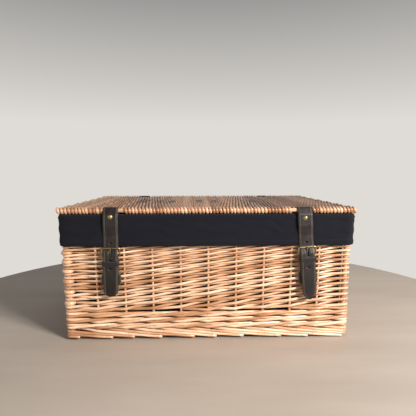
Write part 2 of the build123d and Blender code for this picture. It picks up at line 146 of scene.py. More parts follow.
class Rods:
    """Collects rods swept along paths and makes one mesh of them.

    Each point also carries "grain", its place on the rod as if it were straight, "tone", which
    differs from rod to rod, and "cut", which is 1 on a cut end.
    """

    def __init__(self, seed, sides=8):
        self.random = random.Random(seed)
        self.sides = sides
        self.points, self.faces = [], []
        self.grain, self.tone, self.cut = [], [], []
        self.count = 0

    def add(self, path, radius, reference, thickness=None, tone=None):
        """Adds one rod. The radius lies along the reference direction, the thickness across it."""
        path, reference = np.asarray(path, float), np.asarray(reference, float)
        size = len(path)
        width = np.broadcast_to(radius, (size,))
        thick = width if thickness is None else np.broadcast_to(thickness, (size,))
        tangent = unit(np.gradient(path, axis=0))
        side = unit(reference - tangent * (tangent @ reference)[:, None])
        out = np.cross(tangent, side)
        angle = np.arange(self.sides) * 2 * math.pi / self.sides
        run = distances(path) + self.random.uniform(0, GRAIN_RUN)

        order = [0] + list(range(size)) + [size - 1]
        scale = np.array([END_SHRINK] + [1.0] * size + [END_SHRINK])
        shift = np.array([-END_BEVEL] + [0.0] * size + [END_BEVEL])
        centre = path[order] + tangent[order] * shift[:, None]
        across = (width[order] * scale)[:, None] * np.cos(angle)
        outward = (thick[order] * scale)[:, None] * np.sin(angle)
        rings = centre[:, None, :] + across[..., None] * side[order][:, None, :]
        rings = rings + outward[..., None] * out[order][:, None, :]
        grain = np.stack(
            [np.broadcast_to((run[order] + shift)[:, None], across.shape), across, outward], axis=-1
        )
        ends = np.stack([centre[0], centre[-1]])
        end_grain = np.array([[run[0], 0, 0], [run[-1], 0, 0]])
        first = self.count
        rows = size + 2
        i = np.arange(rows - 1)[:, None] * self.sides + first
        k = np.arange(self.sides)[None, :]
        following = (k + 1) % self.sides
        quads = np.stack([i + k, i + following, i + self.sides + following, i + self.sides + k], -1)
        self.faces += quads.reshape(-1, 4).tolist()
        start, finish = first + rows * self.sides, first + rows * self.sides + 1
        last = first + (rows - 1) * self.sides
        for n in range(self.sides):
            following_n = (n + 1) % self.sides
            self.faces.append([start, first + following_n, first + n])
            self.faces.append([finish, last + n, last + following_n])
        self.points += [rings.reshape(-1, 3), ends]
        self.grain += [grain.reshape(-1, 3), end_grain]
        total = rows * self.sides + 2
        cut = np.zeros(total)
        cut[: self.sides] = 1
        cut[last - first : last - first + self.sides] = 1
        cut[-2:] = 1
        self.cut.append(cut)
        value = self.random.random() if tone is None else tone
        self.tone.append(np.full(total, value))
        self.count += total

    def build(self, name, material, body):
        """Makes the mesh object and lets it ride on a body."""
        mesh = add_mesh(name, np.concatenate(self.points), self.faces)
        for title, values in (("grain", self.grain), ("tone", self.tone), ("cut", self.cut)):
            attach(mesh, title, np.concatenate(values))
        return finished(mesh, name, material, body)


def finished(mesh, name, material, body):
    """Smooth-shaded object of a mesh, with its material, riding on its body."""
    mesh.polygons.foreach_set("use_smooth", [True] * len(mesh.polygons))
    mesh.materials.append(material)
    mesh.update()
    piece = add_object(name, mesh)
    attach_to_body(piece, body)
    return piece


# ---- materials
class Nodes:
    """Short forms for building a material's node tree."""

    def __init__(self, name):
        self.material = bpy.data.materials.new(name)
        self.material.use_nodes = True
        self.tree = self.material.node_tree
        self.shader = self.tree.nodes["Principled BSDF"]

    def node(self, kind, **settings):
        """New node, with its plain properties set."""
        made = self.tree.nodes.new(kind)
        for key, value in settings.items():
            setattr(made, key, value)
        return made

    def link(self, value, socket):
        """Puts a number, a colour or another node's output into a socket."""
        if isinstance(value, bpy.types.NodeSocket):
            self.tree.links.new(value, socket)
        else:
            socket.default_value = value

    def attribute(self, name, output):
        """Output of a mesh attribute."""
        return self.node("ShaderNodeAttribute", attribute_name=name).outputs[output]

    def place(self):
        """Place on the object itself, in metres."""
        return self.node("ShaderNodeTexCoord").outputs["Object"]

    def scaled(self, vector, scale):
        """Vector times a scale for each axis."""
        made = self.node("ShaderNodeVectorMath", operation="MULTIPLY")
        self.link(vector, made.inputs[0])
        self.link(scale, made.inputs[1])
        return made.outputs[0]

    def noise(self, vector, scale=1.0, detail=3.0, roughness=0.55, distortion=0.0):
        """Noise from about 0 to 1."""
        made = self.node("ShaderNodeTexNoise")
        self.link(vector, made.inputs["Vector"])
        made.inputs["Scale"].default_value = scale
        made.inputs["Detail"].default_value = detail
        made.inputs["Roughness"].default_value = roughness
        made.inputs["Distortion"].default_value = distortion
        return made.outputs["Fac"]

    def math(self, operation, a, b=0.0):
        """Arithmetic on two values."""
        made = self.node("ShaderNodeMath", operation=operation)
        self.link(a, made.inputs[0])
        self.link(b, made.inputs[1])
        return made.outputs[0]

    def between(self, value, low, high, to_low=0.0, to_high=1.0):
        """Value mapped from one range to another, held at its ends."""
        made = self.node("ShaderNodeMapRange")
        self.link(value, made.inputs["Value"])
        for key, number in zip(("From Min", "From Max", "To Min", "To Max"), (low, high, to_low, to_high)):
            made.inputs[key].default_value = number
        return made.outputs["Result"]

    def ramp(self, value, stops):
        """Colour ramp with stops of (position, red, green, blue)."""
        made = self.node("ShaderNodeValToRGB")
        elements = made.color_ramp.elements
        while len(elements) < len(stops):
            elements.new(0.5)
        for element, (position, *colour) in zip(elements, stops):
            element.position = position
            element.color = (*colour, 1)
        self.link(value, made.inputs[0])
        return made.outputs[0]

    def mix(self, share, a, b):
        """Colour a turning into colour b."""
        made = self.node("ShaderNodeMix", data_type="RGBA")
        self.link(share, made.inputs[0])
        self.link(a, made.inputs[6])
        self.link(b, made.inputs[7])
        return made.outputs[2]

    def times(self, a, b):
        """Product of two values."""
        return self.math("MULTIPLY", a, b)

    def plus(self, a, b):
        """Sum of two values."""
        return self.math("ADD", a, b)

    def bump(self, height, distance_mm, strength):
        """Bump of a height between 0 and 1, as deep as the distance."""
        made = self.node("ShaderNodeBump")
        made.inputs["Strength"].default_value = strength
        made.inputs["Distance"].default_value = distance_mm * MM
        self.link(height, made.inputs["Height"])
        return made.outputs[0]

    def parts(self, vector):
        """X, Y and Z of a vector."""
        made = self.node("ShaderNodeSeparateXYZ")
        self.link(vector, made.inputs[0])
        return made.outputs

    def finish(self, colour, roughness, normal=None, **constants):
        """Connects the shader; constants are its own sockets."""
        self.link(colour, self.shader.inputs["Base Color"])
        self.link(roughness, self.shader.inputs["Roughness"])
        if normal is not None:
            self.link(normal, self.shader.inputs["Normal"])
        for key, value in constants.items():
            self.shader.inputs[key.replace("_", " ")].default_value = value
        return self.material


TONE_SPREAD = 0.26  # how much lighter or darker one rod is than the next
SCAR_COLOUR = (0.16, 0.065, 0.025, 1)
FLECK_COLOUR = (0.25, 0.11, 0.04, 1)
CUT_COLOUR = (0.55, 0.36, 0.2, 1)
SCARS = 0.011  # leaf scars in a millimetre of rod
# Painted shade: near-black colour for the lid's weave where shade falls into its gaps.
GAP_SHADE_COLOUR = (0.010, 0.013, 0.018, 1)
GAP_SHADE_STRETCH = 0.24  # width against length along the weavers of a patch of painted shade
# Painted shade: darker, browner colour on the lid's top away from its front edge, standing in for the
# shade between the weavers there.
TOP_SHADE_COLOUR = (0.10, 0.045, 0.020, 1)
TOP_SHADE_BETWEEN = (-0.171, -0.150)  # from the lid's front edge to its top, where the painted shade is full
TOP_SHADE_SHARE = 0.34
GRAIN_TURN = {"X": 0.0, "Z": math.pi / 2}  # turns a rod's own axis to X
# Patches of painted shade on the lid's weave gaps, each x, y and reach.
LID_GAP_SHADES = ((-132, 12, 19), (-99, -5, 11), (-70, -8, 12), (-13, 8, 14), (17, 2, 14), (97, 0, 14))
WALL_STOPS = (
    (0.26, 0.27, 0.104, 0.040),
    (0.42, 0.50, 0.245, 0.118),
    (0.56, 0.71, 0.425, 0.255),
    (0.74, 0.91, 0.67, 0.48),
)
LID_STOPS = (
    (0.24, 0.14, 0.053, 0.022),
    (0.42, 0.33, 0.145, 0.068),
    (0.58, 0.52, 0.275, 0.148),
    (0.78, 0.76, 0.50, 0.33),
)


def painted_lid_shade(n, colour, gap_shades):
    """Lid weavers with painted shade: darker and browner away from the front edge, for the shade on the
    lid's top, and dark ragged patches of painted shade where the weave has gaps: each is x, y, reach.
    """
    # painted shade on the lid's top, full from just behind the front edge
    slow_variation = n.between(n.parts(n.place())[1], *TOP_SHADE_BETWEEN, 0.0, TOP_SHADE_SHARE)
    colour = n.mix(slow_variation, colour, TOP_SHADE_COLOUR)
    # ragged dark patches of painted shade where the weave has gaps
    ragged = n.times(n.noise(n.scaled(n.place(), (260.0, 55.0, 80.0))), 1.3)
    for x, y, reach in gap_shades:
        across = n.node("ShaderNodeVectorMath", operation="DISTANCE")
        n.link(n.scaled(n.place(), (1.0, GAP_SHADE_STRETCH, 0.0)), across.inputs[0])
        across.inputs[1].default_value = (x * MM, GAP_SHADE_STRETCH * y * MM, 0.0)
        near = n.math("DIVIDE", across.outputs["Value"], reach * MM)
        mask = n.between(n.plus(near, ragged), 1.2, 1.45, 0.93, 0.0)
        colour = n.mix(mask, colour, GAP_SHADE_COLOUR)
    return colour


def willow(name, stops, rod_axis=None, gap_shades=()):
    """Buff willow: streaks along the rod, darker rings at the leaf scars and pale cut ends.

    Rods made here carry their own grain. A CAD rod takes it from its place, with its axis given.
    """
    n = Nodes(name)
    if rod_axis is None:
        grain = n.attribute("grain", "Vector")
        tone = n.attribute("tone", "Fac")
        cut = n.attribute("cut", "Fac")
    else:
        rotate = n.node("ShaderNodeVectorRotate", rotation_type="EULER_XYZ")
        n.link(n.scaled(n.place(), PER_METRE), rotate.inputs["Vector"])
        rotate.inputs["Rotation"].default_value = (0, GRAIN_TURN[rod_axis], 0)
        grain = rotate.outputs[0]
        tone = n.noise(n.scaled(grain, (0.0, 0.05, 0.05)), detail=0.0)
        cut = 0.0
    streaks = n.noise(n.scaled(grain, (0.05, 1.6, 1.6)), detail=4.0)
    patches = n.noise(n.scaled(grain, (0.02, 0.12, 0.12)), detail=2.0)
    fine = n.noise(n.scaled(grain, (0.6, 6.0, 6.0)), detail=3.0)
    shade = n.plus(n.times(streaks, 0.5), n.times(patches, 0.55))
    shade = n.plus(shade, n.times(n.math("SUBTRACT", tone, 0.5), TONE_SPREAD))
    scar = n.node("ShaderNodeTexVoronoi", feature="DISTANCE_TO_EDGE", voronoi_dimensions="1D")
    n.link(n.parts(grain)[0], scar.inputs["W"])
    scar.inputs["Scale"].default_value = SCARS
    ring = n.between(scar.outputs["Distance"], 0.0, 0.010, 0.45, 0.0)
    colour = n.mix(ring, n.ramp(shade, stops), SCAR_COLOUR)
    colour = n.mix(n.between(fine, 0.62, 0.8, 0.0, 0.35), colour, FLECK_COLOUR)
    colour = n.mix(n.times(cut, 0.8), colour, CUT_COLOUR)
    # painted shade on the lid's top and in the gaps of its weave
    if gap_shades:
        colour = painted_lid_shade(n, colour, gap_shades)
    roughness = n.between(streaks, 0.3, 0.7, 0.27, 0.42)
    normal = n.bump(n.plus(streaks, n.times(ring, 0.6)), 0.25, 0.55)
    return n.finish(colour, roughness, normal, Coat_Weight=0.5, Coat_Roughness=0.2)


willow_wall = willow("willow_wall", WALL_STOPS)
willow_lid = willow("willow_lid", LID_STOPS, gap_shades=LID_GAP_SHADES)
willow_upright = willow("willow_upright", WALL_STOPS, "Z")
willow_stick = willow("willow_stick", LID_STOPS, "X")


# ---- paths round the basket
SIDE_NORMALS = ((0.0, -1.0), (1.0, 0.0), (0.0, 1.0), (-1.0, 0.0))
POST_INDEX = (0, FRONT_BAYS, FRONT_BAYS + SIDE_BAYS, 2 * FRONT_BAYS + SIDE_BAYS)
POST_SIGNS = ((-1, -1), (1, -1), (1, 1), (-1, 1))


def side_of_bay(bay):
    """Which side the bay to the right of an upright is on: front, right, back, left."""
    bay %= UPRIGHTS
    return max(k for k in range(4) if POST_INDEX[k] <= bay)


def is_post(j):
    """Whether upright j is a corner post."""
    return j % UPRIGHTS in POST_INDEX


def axis_of(j, z):
    """Axis of upright j at height z, counted from the front left post to the right."""
    j %= UPRIGHTS
    across, along = half_width(z) - POST_INSET, half_depth(z) - POST_INSET
    if j in POST_INDEX:
        x_sign, y_sign = POST_SIGNS[POST_INDEX.index(j)]
        return np.array([x_sign * across, middle_y + y_sign * along])
    side = side_of_bay(j)
    bays = FRONT_BAYS if side in (0, 2) else SIDE_BAYS
    share = 2 * (j - POST_INDEX[side]) / bays - 1
    depth, width = half_depth(z) - STAKE_INSET, half_width(z) - STAKE_INSET
    places = (
        (share * across, -depth),
        (width, share * along),
        (-share * across, depth),
        (-width, -share * along),
    )
    return np.array(places[side]) + (0, middle_y)


INNER_TURN = 12.0  # radius of a rod's bend where it passes inside a corner post


def turn_at_post(j, z, front, reach):
    """Centre and radius of the arc that a rod makes in front of a post, or behind it."""
    axis = axis_of(j, z)
    if front:
        return axis, reach
    x_sign, y_sign = POST_SIGNS[POST_INDEX.index(j % UPRIGHTS)]
    diagonal = np.array([x_sign, y_sign]) / math.sqrt(2)
    return axis - diagonal * (reach + INNER_TURN), INNER_TURN


BAY_SAMPLES = (0.0, 0.12, 0.3, 0.5, 0.7, 0.88)
STRAIGHTNESS = 0.85  # 1 is a zigzag from stake to stake, 0 a soft wave


def round_path(first, fronts, heights, radii, arch=0.0):
    """Path of a rod past consecutive uprights, with the radius at each of its points.

    fronts says whether it passes in front of each upright, heights and radii how high and thick
    it is there. The arch lifts the run from a front crossing to one behind.
    """
    points, sizes = [], []
    for step in range(len(fronts) - 1):
        j = first + step
        side = side_of_bay(j)
        normal = np.array(SIDE_NORMALS[side])
        ends = []
        for index, here in ((step, j), (step + 1, j + 1)):
            front, z, r = fronts[index], heights[index], radii[index]
            if is_post(here):
                centre, reach = turn_at_post(here, z, front, POST / 2 + r)
                ends.append(centre + normal * reach)
            else:
                ends.append(axis_of(here, z) + normal * (STAKE / 2 + r) * (1 if front else -1))
        start, end = ends
        depth = (end - start) @ normal
        lift = arch if fronts[step] and not fronts[step + 1] else -0.4 * arch
        for t in BAY_SAMPLES:
            eased = STRAIGHTNESS * t + (1 - STRAIGHTNESS) * soft(t)
            place = start + (end - start) * t + normal * depth * (eased - t)
            z = heights[step] + (heights[step + 1] - heights[step]) * t + lift * math.sin(math.pi * t)
            points.append((*place, z))
            sizes.append(radii[step] + (radii[step + 1] - radii[step]) * t)
        if is_post(j + 1) and step + 2 < len(fronts):
            z, r = heights[step + 1], radii[step + 1]
            centre, reach = turn_at_post(j + 1, z, fronts[step + 1], POST / 2 + r)
            begin = math.atan2(normal[1], normal[0])
            for share in (0.0, 0.25, 0.5, 0.75):
                angle = begin + share * math.pi / 2
                place = centre + reach * np.array([math.cos(angle), math.sin(angle)])
                points.append((*place, z))
                sizes.append(r)
    points.append((*end, heights[-1]))
    sizes.append(radii[-1])
    return np.array(points), np.array(sizes)


# ---- randed walls
# Each rod passes in front of one upright and behind the next and climbs to the right. A level is
# the height that one front and one back crossing take up.
LOW_LEVEL_HEIGHT = 10.8
LEVEL_SHRINK = 0.0309  # how much lower a level gets for each millimetre up the wall
ROD_SHARE = 0.24  # rod radius as a share of the level's height
FRONT_RISE = (0.10, 0.45, 0.62, 0.68, 0.76, 0.76, 0.72, 0.68, 0.58, 0.45)
SIDE_RISE = (0.30, 0.45, 0.50, 0.55, 0.55, 0.50, 0.35)
RISES = FRONT_RISE + SIDE_RISE + FRONT_RISE + SIDE_RISE
TURN_RISE = 18  # levels that a rod climbs in one turn round the basket
WRAP_PAIRS = 10
WRAP_THICKNESS = 2.6
WRAP_SWEEP = math.radians(150)  # to each side of the corner
PAIR_SHIFT = 0.16  # levels by which rods crowd together in front of a post with wraps
WALL_RODS = 2 * TURN_RISE
LOWEST_START = -0.75


def level_height(level):
    """Height of a level above the floor."""
    return wale_high_z + LOW_LEVEL_HEIGHT / LEVEL_SHRINK * (1 - math.exp(-LEVEL_SHRINK * level))


def level_size(z):
    """How tall one level is at height z."""
    return LOW_LEVEL_HEIGHT - LEVEL_SHRINK * (z - wale_high_z)


def climb(j):
    """Levels that a rod has climbed at upright j, counted from the front left post."""
    turns, rest = divmod(j, UPRIGHTS)
    return TURN_RISE * turns + sum(RISES[:rest]) * TURN_RISE / sum(RISES)


def randed_walls():
    """The slanting rods of the four walls."""
    rods = Rods(seed=11)
    top_level = 0
    while level_height(top_level + 0.1) < weave_high_z:
        top_level += 0.1
    for r in range(WALL_RODS):
        crossings = []
        for j in range(-2 * UPRIGHTS, 3 * UPRIGHTS):
            level = r / 2 + climb(j) - TURN_RISE
            if LOWEST_START < level < top_level:
                front = (r + j) % 2 == 0
                if front and j % UPRIGHTS in (POST_INDEX[0], POST_INDEX[2]):
                    pair = round(level - climb(j % UPRIGHTS)) % 2
                    level += PAIR_SHIFT if pair == 0 else -PAIR_SHIFT
                level += rods.random.uniform(-0.05, 0.05)
                crossings.append((j, front, level_height(max(level, 0.24))))
        if crossings[0][1]:
            crossings = crossings[1:]
        numbers, fronts, heights = zip(*crossings)
        sturdy = rods.random.uniform(0.93, 1.06)
        radii = [ROD_SHARE * sturdy * level_size(z) for z in heights]
        path, sizes = round_path(numbers[0], fronts, heights, radii, arch=0.5)
        rods.add(path, sizes, (0, 0, 1))
    return rods


def corner_wraps(rods):
    """Short thick rods bent round two corner posts, between each second pair of rods."""
    for corner in (0, 2):
        j = POST_INDEX[corner]
        offset = climb(j) % 2
        middle_angle = math.radians(225 if corner == 0 else 45)
        for pair in range(WRAP_PAIRS):
            z = level_height(2 * pair + 1.5 - offset)
            if not wale_high_z + 4 < z < cuff_low[2] - 2:
                continue
            reach = POST / 2 + WRAP_THICKNESS
            centre = axis_of(j, z)
            share = np.linspace(-1, 1, 17)
            angle = middle_angle + share * WRAP_SWEEP
            stretched = reach + WRAP_THICKNESS * 0.45 * (1 - share * share)
            x, y = centre[0] + stretched * np.cos(angle), centre[1] + stretched * np.sin(angle)
            tall = (0.14 + 0.29 * np.sqrt(1 - share * share)) * level_size(z)
            path = np.column_stack([x, y, np.full(len(x), z)])
            rods.add(path, tall, (0, 0, 1), thickness=WRAP_THICKNESS, tone=0.6)


# ---- bands of waling
WALE_FULLNESS = 1.08  # rod thickness against the room it has
WALE_START = 24  # upright at the back where the rounds begin
WALE_STEPS = 36  # uprights that one rod passes, two more than there are
WALE_WEAVERS = 3
WALE_LIFTS = (0.5, 0.0, 1.0)  # rod thicknesses, behind an upright and in front of the next two


def waling(rods, z_low, rounds, rod_size, tight_below=0.0):
    """Rounds of three rods, each in front of two uprights and behind one."""
    radius = rod_size * WALE_FULLNESS / 2
    for turn in range(rounds):
        for weaver in range(WALE_WEAVERS):
            fronts, heights, radii = [], [], []
            for step in range(WALE_STEPS + 1):
                phase = step % WALE_WEAVERS
                fronts.append(phase != 0)
                base = z_low + rod_size * (0.5 + 2 * turn + WALE_LIFTS[phase])
                heights.append(base + rods.random.uniform(-0.25, 0.25))
                radii.append(radius * rods.random.uniform(0.94, 1.03))
            first = WALE_START + weaver + 2 * turn
            path, sizes = round_path(first, fronts, heights, radii)
            thickness = np.where(path[:, 2] < tight_below, sizes * 0.75, sizes)
            rods.add(path, sizes, (0, 0, 1), thickness=thickness)


FOOT_ROD = 2.75  # radius
FOOT_DROP = (18.5, 15.6, 11.0, 6.6, 3.4)  # heights at the uprights that a rod passes
FOOT_INNER = (4.0, 5.0, 8.6, 9.5)  # the same for the rods inside
FOOT_INNER_ROD = 2.4


def foot_border():
    """Rods that come out between the uprights and slant down to the right, with cut ends."""
    rods = Rods(seed=23)
    for j in range(UPRIGHTS):
        heights = [z + rods.random.uniform(-0.5, 0.5) for z in FOOT_DROP]
        heights[-1] = max(heights[-1], FOOT_ROD + 0.1)
        radii = [FOOT_ROD * rods.random.uniform(0.9, 1.02)] * len(heights)
        path, sizes = round_path(j, [False, True, True, True, True], heights, radii)
        keep = len(path) - rods.random.randint(0, 4)
        rods.add(path[:keep], sizes[:keep], (0, 0, 1))
        path, sizes = round_path(j, [False] * 4, FOOT_INNER, [FOOT_INNER_ROD] * 4)
        rods.add(path, sizes, (0, 0, 1))
    return rods


# ---- flat woven panels
class Panel:
    """A flat weave: sticks that run left to right, and weavers that run back and forth over them."""

    def __init__(self, half_x, edge_ys, z, inner_count, edge_radius, inner_radius, weaver_radius):
        self.half_x = half_x
        self.z = z
        low, high = edge_ys
        self.rows = [low + (high - low) * i / (inner_count + 1) for i in range(inner_count + 2)]
        self.radii = [edge_radius] + [inner_radius] * inner_count + [edge_radius]
        self.weaver_radius = weaver_radius
        self.gaps = ()  # places that the weavers bend away from

    def weave(self, rods, pitch, wrap_width, wrap_thickness, notched=lambda x, end: False, bay_steps=4):
        """Weaves rods back and forth; notched(x, end) says where the edge stick stays bare."""
        passes = 2 * int(self.half_x / pitch)
        pitch = 2 * self.half_x / passes
        last = len(self.rows) - 1
        xs = [-self.half_x + pitch * (p + 0.5) for p in range(passes)]
        xs = [x + pitch * rods.random.uniform(-0.16, 0.16) for x in xs]
        chain = []
        left_in_chain = rods.random.randint(3, 5)
        for p in range(passes):
            forward = p % 2 == 0  # towards the front
            next_x = xs[min(p + 1, passes - 1)]
            here = (xs[p] + next_x) / 2
            front_stop = 1 if notched(here if forward else xs[p] - pitch / 2, 0) else 0
            back_stop = last - 1 if notched(here if not forward else xs[p] - pitch / 2, last) else last
            stops = (back_stop, front_stop) if forward else (front_stop, back_stop)
            chain += self.run(rods, xs[p], p, stops, bay_steps)
            left_in_chain -= 1
            if left_in_chain <= 0 and not forward or p == passes - 1:
                self.lay(rods, chain)
                chain = []
                left_in_chain = rods.random.randint(2, 5)
            else:
                chain += self.wrap(xs[p], next_x, stops[1], forward, wrap_width, wrap_thickness)

    def lift(self, p, row):
        """How far pass p is above or below a row's stick."""
        side = 1 if (p + row) % 2 == 0 else -1
        return side * (self.radii[row] + self.weaver_radius)

    def run(self, rods, x, p, stops, bay_steps):
        """Points of one pass between two rows."""
        start, end = stops
        step = 1 if end > start else -1
        sway = rods.random.uniform(-0.2, 0.2)
        points = []
        for row in range(start, end, step):
            following = row + step
            lifts = [self.lift(p, i) for i in (row, following)]
            for k in range(bay_steps):
                t = k / bay_steps
                y = self.rows[row] + (self.rows[following] - self.rows[row]) * t
                z = self.z + lifts[0] + (lifts[1] - lifts[0]) * soft(t)
                points.append((x + sway, y, z, self.weaver_radius, self.weaver_radius))
        for n, (place_x, place_y, *rest) in enumerate(points):
            for gap_x, gap_y in self.gaps:
                away = place_x - gap_x
                near = math.exp(-((away / GAP_WIDTH) ** 2) - ((place_y - gap_y) / GAP_LENGTH) ** 2)
                place_x += math.copysign(GAP_PUSH * near, away)
            points[n] = (place_x, place_y, *rest)
        z = self.z + self.lift(p, end)
        points.append((x, self.rows[end], z, self.weaver_radius, self.weaver_radius))
        return points

    def wrap(self, x, next_x, row, at_front, width, thickness):
        """Points of the turn round an edge stick between two passes."""
        top = self.radii[row] + self.weaver_radius
        outward = -1 if at_front else 1
        if row not in (0, len(self.rows) - 1):
            return self.turn(x, next_x, row, outward, outward * top)
        points = []
        for share in (0.12, 0.3, 0.5, 0.7, 0.88):
            angle = math.pi * share
            blend = math.sin(angle)
            reach = top + (self.radii[row] + thickness - top) * blend
            y = self.rows[row] + outward * reach * blend
            z = self.z - outward * reach * math.cos(angle)
            wide = self.weaver_radius + (width - self.weaver_radius) * blend
            thick = self.weaver_radius + (thickness - self.weaver_radius) * blend
            points.append((x + (next_x - x) * share, y, z, wide, thick))
        return points

    def turn(self, x, next_x, row, outward, lift):
        """Points of a turn short of an edge stick, where the stick stays bare."""
        reach = self.rows[1] - self.rows[0] - TURN_MARGIN
        size = self.weaver_radius
        points = []
        for share in (0.04, 0.15, 0.5, 0.85, 0.96):
            along = math.sin(math.pi * share)
            y = self.rows[row] + outward * reach * along**0.6
            z = self.z + lift * (1 - 2 * share) * 0.8
            points.append((x + (next_x - x) * share, y, z, size, size))
        return points

    def lay(self, rods, chain):
        """Adds one weaver."""
        chain = np.array(chain)
        size = rods.random.uniform(0.93, 1.07)
        rods.add(chain[:, :3], chain[:, 3] * size, (1, 0, 0), thickness=chain[:, 4])


LID_INNER_STICKS = 11
LID_WEAVER = 1.45
LID_PITCH = 2.95
LID_WRAP = (2.85, 1.25)  # half width and half thickness of a weaver where it wraps an edge stick
LID_GAPS = ((-137, 18), (-122, -4), (-30, -18), (-8, -10), (93, 62))  # where weavers lie apart
GAP_WIDTH = 14.0
GAP_LENGTH = 30.0
GAP_PUSH = 1.5
BASE_INNER_STICKS = 7
BASE_WEAVER = 1.5
BASE_PITCH = 3.2
BASE_WRAP = (2.6, 1.45)
BASE_EDGE = 4.0  # radius of the floor's front and back sticks
BARE_STICK = 9.0  # beside a strap, towards the middle
NOTCH = STRAP_WIDTH / 2 + 2.0  # half width of a notch in the weave for a strap or a hinge
TURN_MARGIN = 15.5  # from the edge stick's axis to a turn that leaves the stick bare


def lid_notch(x, end):
    """Whether the lid's edge stick is bare at x, for a strap in front or a hinge behind."""
    if end == 0:
        from_strap = abs(x) - STRAP_X
        return -NOTCH - BARE_STICK < from_strap < NOTCH
    return abs(abs(x) - HINGE_X) < NOTCH


def lid_weave():
    """The lid's weavers."""
    rods = Rods(seed=31)
    edges = (front_axis_y, back_axis_y)
    panel = Panel(lid_high[0], edges, stick_z, LID_INNER_STICKS, stick_radius, 2.5, LID_WEAVER)
    panel.gaps = LID_GAPS
    panel.weave(rods, LID_PITCH, *LID_WRAP, lid_notch)
    return rods


def base_weave():
    """The floor's weavers."""
    rods = Rods(seed=37, sides=6)
    z = (base_stick_low[2] + base_stick_high[2]) / 2
    edges = (base_stick_low[1] + BASE_EDGE, base_stick_high[1] - BASE_EDGE)
    panel = Panel(base_high[0], edges, z, BASE_INNER_STICKS, BASE_EDGE, 3.0, BASE_WEAVER)
    panel.weave(rods, BASE_PITCH, *BASE_WRAP)
    return rods


def woven(rods, name, material, body, *nodes):
    """Makes the rods one piece, shown in place of CAD nodes."""
    piece = rods.build(name, material, body)
    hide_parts(*nodes)


def make_willow():
    """All willow pieces."""
    walls = randed_walls()
    corner_wraps(walls)
    sides = ("weave_front", "weave_back", "weave_left", "weave_right")
    woven(walls, "randed_walls", willow_wall, "basket", *sides)
    wale = Rods(seed=17)
    waling(wale, foot_high[2] + 7.8, 3, 5.05, tight_below=27.0)
    woven(wale, "waled_band", willow_wall, "basket", "upset_wale")
    border = Rods(seed=19)
    waling(border, weave_high_z + 0.2, 2, 2.9)
    woven(border, "rim_rods", willow_wall, "basket", "top_border")
    woven(foot_border(), "foot_rods", willow_wall, "basket", "foot_border")
    woven(base_weave(), "base_weavers", willow_wall, "basket", "base_weave")
    woven(lid_weave(), "lid_weavers", willow_lid, "lid", "lid_weave")


make_willow()


# ---- cloth
CLOTH = 1.0  # thickness
CUFF_OUT = 0.9  # middle of the cuff's cloth, out from the walls
CORNER = 14.0
MOUTH_INSET = 15.2
LEAST_CORNER = 3.0
CORNER_COLUMNS = 8
COLUMN_PITCH = 3.4
THREAD = 0.9  # from one warp thread to the next but one, and the same for weft
COTTON_STOPS = ((0.35, 0.0025, 0.003, 0.007), (0.5, 0.0055, 0.006, 0.011), (0.7, 0.012, 0.011, 0.015))
BASKET_CENTRE = np.array([0.0, middle_y])


def ring_columns():
    """For each column of cloth round the basket: its side, its share along it, its outward angle."""
    columns = []
    for side, normal in enumerate(SIDE_NORMALS):
        length = 2 * (half_width(200) if side in (0, 2) else half_depth(200)) - 2 * CORNER
        count = int(length / COLUMN_PITCH)
        angle = math.atan2(normal[1], normal[0])
        columns += [(side, 2 * i / count - 1, angle) for i in range(count + 1)]
        for i in range(1, CORNER_COLUMNS):
            columns.append((side, 1.0, angle + math.pi / 2 * i / CORNER_COLUMNS))
    return columns


COLUMNS = ring_columns()
NORMALS = np.array([[math.cos(angle), math.sin(angle)] for side, share, angle in COLUMNS])


def ring_points(inset, z):
    """Points of all columns at a height, at a distance inside the walls' outer faces."""
    corner = max(CORNER - inset, LEAST_CORNER)
    half_x, half_y = half_width(z) - inset - corner, half_depth(z) - inset - corner
    points = []
    for (side, share, angle), normal in zip(COLUMNS, NORMALS):
        along = np.array([-SIDE_NORMALS[side][1], SIDE_NORMALS[side][0]])
        out = np.array(SIDE_NORMALS[side])
        half = np.array([half_x, half_y])
        flat = BASKET_CENTRE + out * half + along * half * share
        points.append((*(flat + normal * corner), z))
    return np.array(points)


def ring_places():
    """How far round the basket each column is, and the whole way round."""
    points = ring_points(0.0, cuff_high[2])
    runs = distances(np.concatenate([points, points[:1]]))
    return runs[:-1], runs[-1]


PLACES, ROUND_LENGTH = ring_places()


def folds(seed, lengths):
    """Smooth random folds round the basket, from -1 to 1, of about the given lengths."""
    draw = random.Random(seed)
    total = np.zeros(len(PLACES))
    for length in lengths:
        waves = round(ROUND_LENGTH / length)
        for shift in (-3, 0, 2):
            turns = 2 * math.pi * (waves + shift) / ROUND_LENGTH
            total += np.sin(PLACES * turns + draw.uniform(0, 6.28)) * draw.uniform(0.5, 1.0)
    return total / (1.6 * len(lengths) ** 0.5)


def ring_faces(count, columns):
    """Faces between rows of points round the basket."""
    faces = []
    for row in range(count - 1):
        for k in range(columns):
            a, b = row * columns + k, row * columns + (k + 1) % columns
            faces.append((a, a + columns, b + columns, b))
    return faces


def row_places(rows):
    """How far down the cloth each row is."""
    steps = [np.linalg.norm(below - above, axis=1).mean() for above, below in zip(rows, rows[1:])]
    return np.concatenate(([0.0], np.cumsum(steps)))


